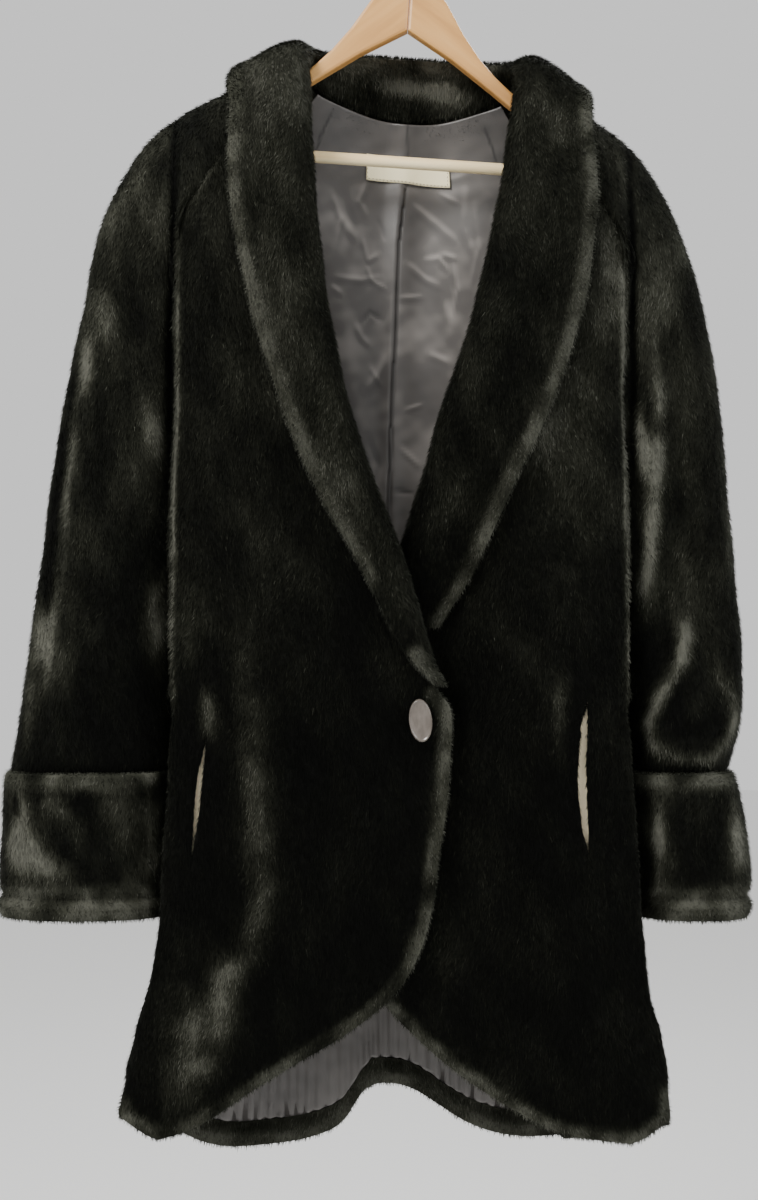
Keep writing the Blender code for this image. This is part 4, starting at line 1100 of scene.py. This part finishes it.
def refine(mesh, longest, box):
    """Splits the long edges of the faces that look forward inside a box, again and again."""
    grid = bmesh.new()
    grid.from_mesh(mesh)
    (x0, z0), (x1, z1) = box
    for _ in range(ROUNDS):
        grid.normal_update()
        inside = {edge for face in grid.faces if face.normal.y < LOOKS_OUT for edge in face.edges
                  if x0 < edge.verts[0].co.x / MM < x1 and z0 < edge.verts[0].co.z / MM < z1}
        split = [edge for edge in inside if edge.calc_length() > longest * MM]
        bmesh.ops.subdivide_edges(grid, edges=split, cuts=1, use_grid_fill=True)
    grid.to_mesh(mesh)
    grid.free()
    mesh.shade_smooth()


print("lining grid:", LINING_GRID, "mm")

# %% Creases of the lining
LINING_CREASES = drawn("""
1.6 -1.6: -6,-168 -6,-207
1.6 -1.5: -77,-164 -89,-188 -96,-213
1.6 -1.5: 66,-179 75,-201 81,-226
3 2.6: -49,-280 -44,-302 -33,-296
3.4 1.6: -78,-318 -50,-321 -31,-318
4.5 2.8: -4,-245 18,-264 43,-286
3.2 2.2: 26,-296 42,-301
3 1.8: -15,-339 10,-337
4 1.8: -7,-305 12,-321 28,-329
4 1.6: 14,-392 34,-400
3.5 2: -79,-326 -69,-335
5 1.6: -46,-428 -34,-412 -26,-392
2.6 -2: -20,-523 1,-526
3.5 2: -14,-481 7,-500
6 -2: -68,-232 -58,-270 -61,-315
5 2.4: 50,-229 47,-270 56,-296
5 2.2: -71,-258 -55,-283
10 2.2: -66,-340 -58,-420 -48,-500
10 2: 40,-330 34,-420 14,-520
4 2: -40,-215 -52,-245 -44,-262
3.6 1.8: 12,-212 34,-224 56,-220
3 -1.6: -30,-360 -42,-352 -50,-362
6 1.3: 28,-340 36,-362 34,-384
4 -1.8: -44,-470 -34,-500 -38,-530
2.6 1.4: -62,-200 -40,-204 -20,-200
3.6 1.8: -78,-238 -70,-262 -74,-290
2.8 -1.4: -34,-262 -26,-284
2.6 2: -46,-306 -40,-322 -24,-332
3.6 1.3: -56,-362 -50,-376 -42,-384
2.8 1.6: 24,-236 44,-248
3.6 2: 58,-250 62,-292 54,-330
3.4 1.2: 8,-302 24,-300 34,-314
3.4 1.8: 36,-300 42,-330 36,-362
2.8 1.8: -42,-404 -30,-424
2.6 1.4: -8,-446 10,-440
3 1.6: -36,-556 -20,-572
4 2.2: -120,-1060 -96,-1040 -70,-1052
4 2.2: -64,-1020 -50,-1048
3.5 2.2: 20,-1010 44,-1026
3.5 2: 64,-990 76,-1004
3.5 2: 110,-1058 126,-1070
""")
print(len(LINING_CREASES), "creases in the lining")

# %% The pressed pleat
PLEAT = path_of("-6,-200 -8,-232 -14,-283 -17,-347 -19,-394 -22,-458 -24,-537 -26,-584")
PLEAT_OVER = (2.6, 9)
PLEAT_IN = (1.4, 1.8)


def lay_pleat(points):
    """A pressed pleat: a sharp groove with the cloth on its left lying over the right."""
    moved = points.copy()
    gap, _ = along_path(points[:, [0, 2]], PLEAT)
    line = np.interp(-points[:, 2], [-z for _, z in PLEAT], [x for x, _ in PLEAT])
    left = line - points[:, 0]
    within = ease(-196, -214, points[:, 2]) * (1 - ease(-560, -640, points[:, 2]))
    over = np.exp(-np.clip(left, 0, None) / PLEAT_OVER[1]) * (left > 0)
    groove = np.exp(-((gap / PLEAT_IN[1]) ** 2))
    moved[:, 1] -= within * (PLEAT_OVER[0] * over - PLEAT_IN[0] * groove)
    return moved


print("the pleat is", PLEAT[0][1] - PLEAT[-1][1], "mm long")

# %% The gathers above the hem
HEM_LINE = path_of("-230,-1100 -205,-1122 -155,-1130 -105,-1124 -80,-1113 -55,-1102 -30,-1070 "
                   "-5,-1068 20,-1090 45,-1106 70,-1110 120,-1120 170,-1111 195,-1097")
GATHER_HIGH = 1.6
GATHER_TURN = 0.62
GATHER_UNEVEN = 1.9


def lay_gathers(points):
    """Uneven gathers above the hem, where the spare width of the sheet is caught."""
    moved = points.copy()
    above = points[:, 2] - np.interp(points[:, 0], [x for x, _ in HEM_LINE], [z for _, z in HEM_LINE])
    wave = np.sin(points[:, 0] * GATHER_TURN + GATHER_UNEVEN * ripple(points * [1, 0, 0.25], 40, 900))
    moved[:, 1] -= (1 - ease(14, 78, above)) * GATHER_HIGH * (1 + wave)
    return moved


print("a gather every", round(2 * math.pi / GATHER_TURN, 1), "mm")

# %% Satin
SATIN_TONES = [(0.0, (0.012, 0.0105, 0.0095)), (0.5, (0.096, 0.088, 0.082)), (1.0, (0.40, 0.37, 0.34))]


def cloth_weave(tree, shader, thread, deep):
    """Fine threads, as a bump: the pitch of the weave and its depth in millimetres."""
    across = noise(tree, (1, 1, 12), 1 / (thread * MM), 2.0)
    along = noise(tree, (12, 1, 1), 1 / (thread * MM), 2.0)
    both = add_node(tree, "Math")
    both.operation = "ADD"
    tree.links.new(across, both.inputs[0])
    tree.links.new(along, both.inputs[1])
    bump_from(tree, shader, both.outputs["Value"], 0.5, deep)


SATIN_SHEEN = [("Sheen Weight", 0.15), ("Sheen Roughness", 0.3)]
SATIN, satin_shader = plain_material("satin", SATIN_TONES[1][1], 0.40, SATIN_SHEEN)
colours_from(SATIN.node_tree, stored(SATIN.node_tree, "tone"), satin_shader, SATIN_TONES)
cloth_weave(SATIN.node_tree, satin_shader, 0.5, 0.12)
print("satin tones:", len(SATIN_TONES))

# %% Dress the lining
LINING_SEAMS = LINING_CREASES[:3]
# Painted highlight above each crease of the lining and painted shade below it:
SHINE_UP = 0.45
SHINE = 0.24
SHADOW = 0.19
SEAM_DARK = (0.25, 1.3)
# Painted shade in the groove of the pressed pleat.
PLEAT_PAINTED_SHADE = (0.42, 1.9)


def painted_satin_light(points):
    """How pale the satin is, with painted light: a painted highlight above each crease's ridge and
    painted shade below it, painted shade at the top, near the hem and in the pleat, and painted light lower
    down.
    """
    height = points[:, 2]
    tone = 0.5 + 0.09 * ripple(points, 60, 910) + 0.05 * ripple(points, 13, 911)
    # Painted light and shade by height: darker at the top by the bar, paler lower down, darker near the hem.
    tone += 0.18 * (1 - ease(-580, -400, height)) - 0.22 * ease(-240, -200, height)
    tone -= 0.28 * (1 - ease(-1000, -900, height))
    # Painted highlight above each crease's ridge and painted shade below it.
    for path, wide, high in LINING_CREASES:
        way = math.copysign(1, high)
        tone += SHINE * way * along_crease(points - [0, 0, SHINE_UP * wide], path, 0.8 * wide)
        tone -= SHADOW * way * along_crease(points + [0, 0, wide], path, 0.9 * wide)
    for path, _, _ in LINING_SEAMS:
        tone -= SEAM_DARK[0] * along_crease(points, path, SEAM_DARK[1])
    # Painted shade along the pleat's groove.
    return tone - PLEAT_PAINTED_SHADE[0] * along_crease(points, PLEAT, PLEAT_PAINTED_SHADE[1])


lining = soft_shell("satin_lining", "lining_back", panel_cage("lining_back"), 2, SATIN)
refine(lining.data, LINING_GRID, ((-150, -640), (140, -140)))
refine(lining.data, HEM_GRID, ((-200, -1140), (150, -990)))
flat_points = drifted(read_points(lining.data))
creased = lay_creases(lay_creases(flat_points, LINING_CREASES, -1), BACK_CREASES, 1)
put_points(lining.data, lay_gathers(lay_pleat(creased)))
keep_values(lining.data, "tone", np.clip(painted_satin_light(flat_points), 0, 1))
print("lining:", len(lining.data.polygons), "faces")

# %% [markdown]
# ## The label and the pocket bags
# A plain woven label is stitched to the lining under the bar. Only the lower part of it shows.
# Behind each pocket slit a flat bag of pale cotton shows as a bright line. Both are cut from
# thin plain weave, so a fine thread bump and a few broad folds are all that they need.

# %% Label cloth and thread
LABEL_CLOTH, label_shader = plain_material("label_cloth", (0.98, 0.885, 0.58), 0.6, [("Sheen Weight", 0.1)])
cloth_weave(LABEL_CLOTH.node_tree, label_shader, 0.45, 0.15)
THREAD, thread_shader = plain_material("thread", (0.60, 0.52, 0.38), 0.7)
bump_from(THREAD.node_tree, thread_shader, noise(THREAD.node_tree, (1, 1, 1), 4000), 0.6, 0.1)
print("materials so far:", len(bpy.data.materials))

# %% A row of stitches
STITCH_LONG = 2.4
STITCH_HALF = 0.4
STITCH_STEP = 3.4


def stitch_line(name, tree, path, finish):
    """Small raised stitches along a path (x, z), laid on the front of a piece."""
    points, faces = [], []
    for (x0, z0), (x1, z1) in zip(path, path[1:]):
        run = math.hypot(x1 - x0, z1 - z0)
        way = Vector(((x1 - x0) / run, 0, (z1 - z0) / run))
        side = Vector((way.z, 0, -way.x))
        for i in range(int(run / STITCH_STEP)):
            at = (i + 0.5) * run / int(run / STITCH_STEP)
            x, z = x0 + way.x * at, z0 + way.z * at
            hit = tree.ray_cast(Vector((x * MM, -0.03, z * MM)), Vector((0, 1, 0)))[0]
            middle = Vector((x, hit.y / MM - 0.1, z))
            first = len(points)
            for step in (way * STITCH_LONG / 2, side * -STITCH_HALF, Vector((0, STITCH_HALF, 0))):
                points += [middle - step, middle + step]
            faces += [tuple(first + k for k in face) for end in (0, 1)
                      for face in ((end, 2, 4), (end, 4, 3), (end, 3, 5), (end, 5, 2))]
    mesh = bpy.data.meshes.new(name)
    mesh.from_pydata([p * MM for p in points], [], faces)
    mesh.shade_smooth()
    mesh.materials.append(finish)
    return add_object(name, mesh)


print("a stitch every", STITCH_STEP, "mm")

# %% Label
LABEL_SIZE = (80, 25)
STITCH_IN = 1.6
label = soft_shell("woven_label", "label", panel_cage("label"), 3, LABEL_CLOTH)
put_points(label.data, drifted(read_points(label.data)))
low, high = (np.array(corner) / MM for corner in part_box("label"))
slope = (high[2] - low[2] - LABEL_SIZE[1]) / (high[0] - low[0])
drop = slope * LABEL_SIZE[0]
left_x, right_x = low[0] + STITCH_IN, high[0] - STITCH_IN
top, bottom = high[2] - STITCH_IN, high[2] - LABEL_SIZE[1] + STITCH_IN
border = [(left_x, top), (right_x, top - drop), (right_x, bottom - drop), (left_x, bottom), (left_x, top)]
label_tree = BVHTree.FromObject(label, bpy.context.evaluated_depsgraph_get())
stitches = stitch_line("label_stitches", label_tree, border, THREAD)
stitches.parent = label
print("label:", len(label.data.polygons), "faces,", len(stitches.data.polygons) // 8, "stitches")

# %% Pocket bags
POCKET_CLOTH, pocket_shader = plain_material("pocket_cloth", (0.98, 0.86, 0.60), 0.75)
cloth_weave(POCKET_CLOTH.node_tree, pocket_shader, 0.6, 0.15)
for side, width, length in (("left", 0.062, 0.160), ("right", 0.062, 0.195)):
    node = "pocket_" + side
    bag = soft_shell("cotton_bag_" + side, node, panel_cage(node), 2, POCKET_CLOTH)
    puckered = drifted(read_points(bag.data))
    puckered[:, 1] += 0.35 * ripple(puckered * [1, 0, 1], 16, 940)
    put_points(bag.data, puckered)
    print("bag", side, len(bag.data.polygons), "faces")

# %% [markdown]
# ## The button
# The button is one oval of grey-brown pearl plastic, turned with a thin proud rim and a face
# that is dished inside it. It stands on a short shank. A profile is swept round the oval, and
# the pearl comes from slow cloudy layers under a clear glossy coat.

# %% Button
BUTTON_HALF = (10.5, 19.5)
BUTTON_PROFILE = [
    # share of the way out, height above the middle of the thickness
    (0.00, -3.5), (0.45, -3.4), (0.78, -2.9), (0.95, -1.6), (1.00, 0.2), (0.985, 1.6), (0.955, 2.55),
    (0.925, 2.9), (0.895, 2.75), (0.865, 2.2), (0.82, 1.9), (0.62, 2.35), (0.35, 2.75), (0.00, 2.95),
]
AROUND = 72


def oval_button(centre, lean):
    """The profile swept round an oval that leans a little, with its face to the front."""
    shape = bmesh.new()
    rings = []
    turns = [2 * math.pi * i / AROUND for i in range(AROUND)]
    for share, high in BUTTON_PROFILE:
        if share == 0:
            rings.append([shape.verts.new((0, -high * MM, 0))] * AROUND)
            continue
        rings.append([shape.verts.new((share * BUTTON_HALF[0] * math.cos(t) * MM, -high * MM,
                                       share * BUTTON_HALF[1] * math.sin(t) * MM)) for t in turns])
    for ring, after in zip(rings, rings[1:]):
        for i in range(AROUND):
            j = (i + 1) % AROUND
            corners = [ring[i], ring[j], after[j], after[i]]
            shape.faces.new(list(dict.fromkeys(corners)))
    bmesh.ops.recalc_face_normals(shape, faces=shape.faces[:])
    mesh = bpy.data.meshes.new("pearl_button")
    shape.to_mesh(mesh)
    shape.free()
    mesh.transform(Matrix.Translation(centre) @ Matrix.Rotation(lean, 4, "Y"))
    mesh.shade_smooth()
    return add_object("pearl_button", mesh)


button_middle = sum((Vector(corner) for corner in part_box("button")), Vector()) / 2
button = oval_button(button_middle, math.radians(-5.5))
print("button:", len(button.data.polygons), "faces")

# %% Pearl and shank
PEARL_COAT = [("Coat Weight", 0.5), ("Coat Roughness", 0.08)]
PEARL, pearl_shader = plain_material("pearl", (0.30, 0.25, 0.23), 0.28, PEARL_COAT)
colours_from(PEARL.node_tree, noise(PEARL.node_tree, (1, 1, 2.4), 90, 4.0), pearl_shader,
             [(0.3, (0.068, 0.056, 0.045)), (0.5, (0.100, 0.084, 0.070)), (0.72, (0.17, 0.146, 0.127))])
button.data.materials.append(PEARL)
stand_in(button, "button")
SHANK, shank_shader = plain_material("shank", (0.24, 0.20, 0.18), 0.45)
bump_from(SHANK.node_tree, shank_shader, noise(SHANK.node_tree, (1, 1, 1), 900), 0.4, 0.2)
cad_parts["button_shank"].data.materials[0] = SHANK
print("finish of the button:", button.data.materials[0].name)

# %% [markdown]
# ## The hanger
# Two flat beech boards are glued at the middle, with a round ramin bar between their ends and a
# wire hook on top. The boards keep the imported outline, with their edges eased a little more.
# Wood needs its grain to run along each piece, so the pattern is stretched along the slope of
# the board, and a clear varnish lies over it.

# %% Wood
def wood(name, tones, stretch, turn, rough, varnish):
    """Wood with long grain: broad colour streaks, fine dark pores and a clear coat."""
    made, shader = plain_material(name, tones[1], rough, [("Coat Weight", varnish), ("Coat Roughness", 0.2)])
    broad = noise(made.node_tree, stretch, 70, 5.0, turn)
    colours_from(made.node_tree, broad, shader, [(0.30, tones[0]), (0.52, tones[1]), (0.74, tones[2])])
    bump_from(made.node_tree, shader, noise(made.node_tree, stretch, 900, 2.0, turn), 0.25, 0.15)
    return made


BEECH = [(0.47, 0.225, 0.062), (0.60, 0.31, 0.092), (0.67, 0.38, 0.13)]
RAMIN = [(0.80, 0.56, 0.27), (0.97, 0.785, 0.45), (0.98, 0.86, 0.57)]
SLOPE = {"left": math.radians(-38), "right": math.radians(38)}
EASED = 1.2
for side, turn in SLOPE.items():
    node = "hanger_arm_" + side
    board = add_object("board_" + side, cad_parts[node].data.copy())
    edge = board.modifiers.new("eased", "BEVEL")
    edge.width = EASED * MM
    edge.segments = 3
    edge.limit_method = "ANGLE"
    edge.angle_limit = math.radians(35)
    board.data = with_modifiers(board)
    board.modifiers.clear()
    board.data.shade_smooth()
    board.data.set_sharp_from_angle(angle=math.radians(38))
    board.data.materials.clear()
    board.data.materials.append(wood("beech_" + side, BEECH, (9, 1.5, 1), turn, 0.45, 0.15))
    stand_in(board, node)
    print(node, len(board.data.polygons), "faces")

# %% Bar and hook
BAR_SIDES = 40
BAR_RADIUS = 5.5
bar_points = read_points(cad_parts["hanger_bar"].data)
ends = [bar_points[bar_points[:, 0] < bar_points[:, 0].mean()].mean(axis=0),
        bar_points[bar_points[:, 0] > bar_points[:, 0].mean()].mean(axis=0)]
bar_way = Vector(ends[1] - ends[0])
bpy.ops.mesh.primitive_cylinder_add(vertices=BAR_SIDES, radius=BAR_RADIUS * MM, depth=bar_way.length * MM)
bar = bpy.context.object
bar.name = bar.data.name = "ramin_bar"
turned = bar_way.to_track_quat("Z", "Y").to_matrix().to_4x4()
bar.data.transform(Matrix.Translation(Vector((ends[0] + ends[1]) / 2) * MM) @ turned)
bar.matrix_world = Matrix()
bar.data.shade_smooth()
bar.data.set_sharp_from_angle(angle=math.radians(40))
bar.data.materials.append(wood("ramin", RAMIN, (14, 1, 1), math.radians(4), 0.6, 0.05))
stand_in(bar, "hanger_bar")
STEEL, steel_shader = plain_material("bright_wire", (0.62, 0.62, 0.61), 0.24, [("Metallic", 1.0)])
bump_from(STEEL.node_tree, steel_shader, noise(STEEL.node_tree, (1, 1, 4), 1600), 0.2, 0.1)
hook = soft_shell("wire_hook", "hanger_hook", panel_cage("hanger_hook"), 2, STEEL)
print("bar", round(bar_way.length), "mm long, hook", len(hook.data.polygons), "faces")
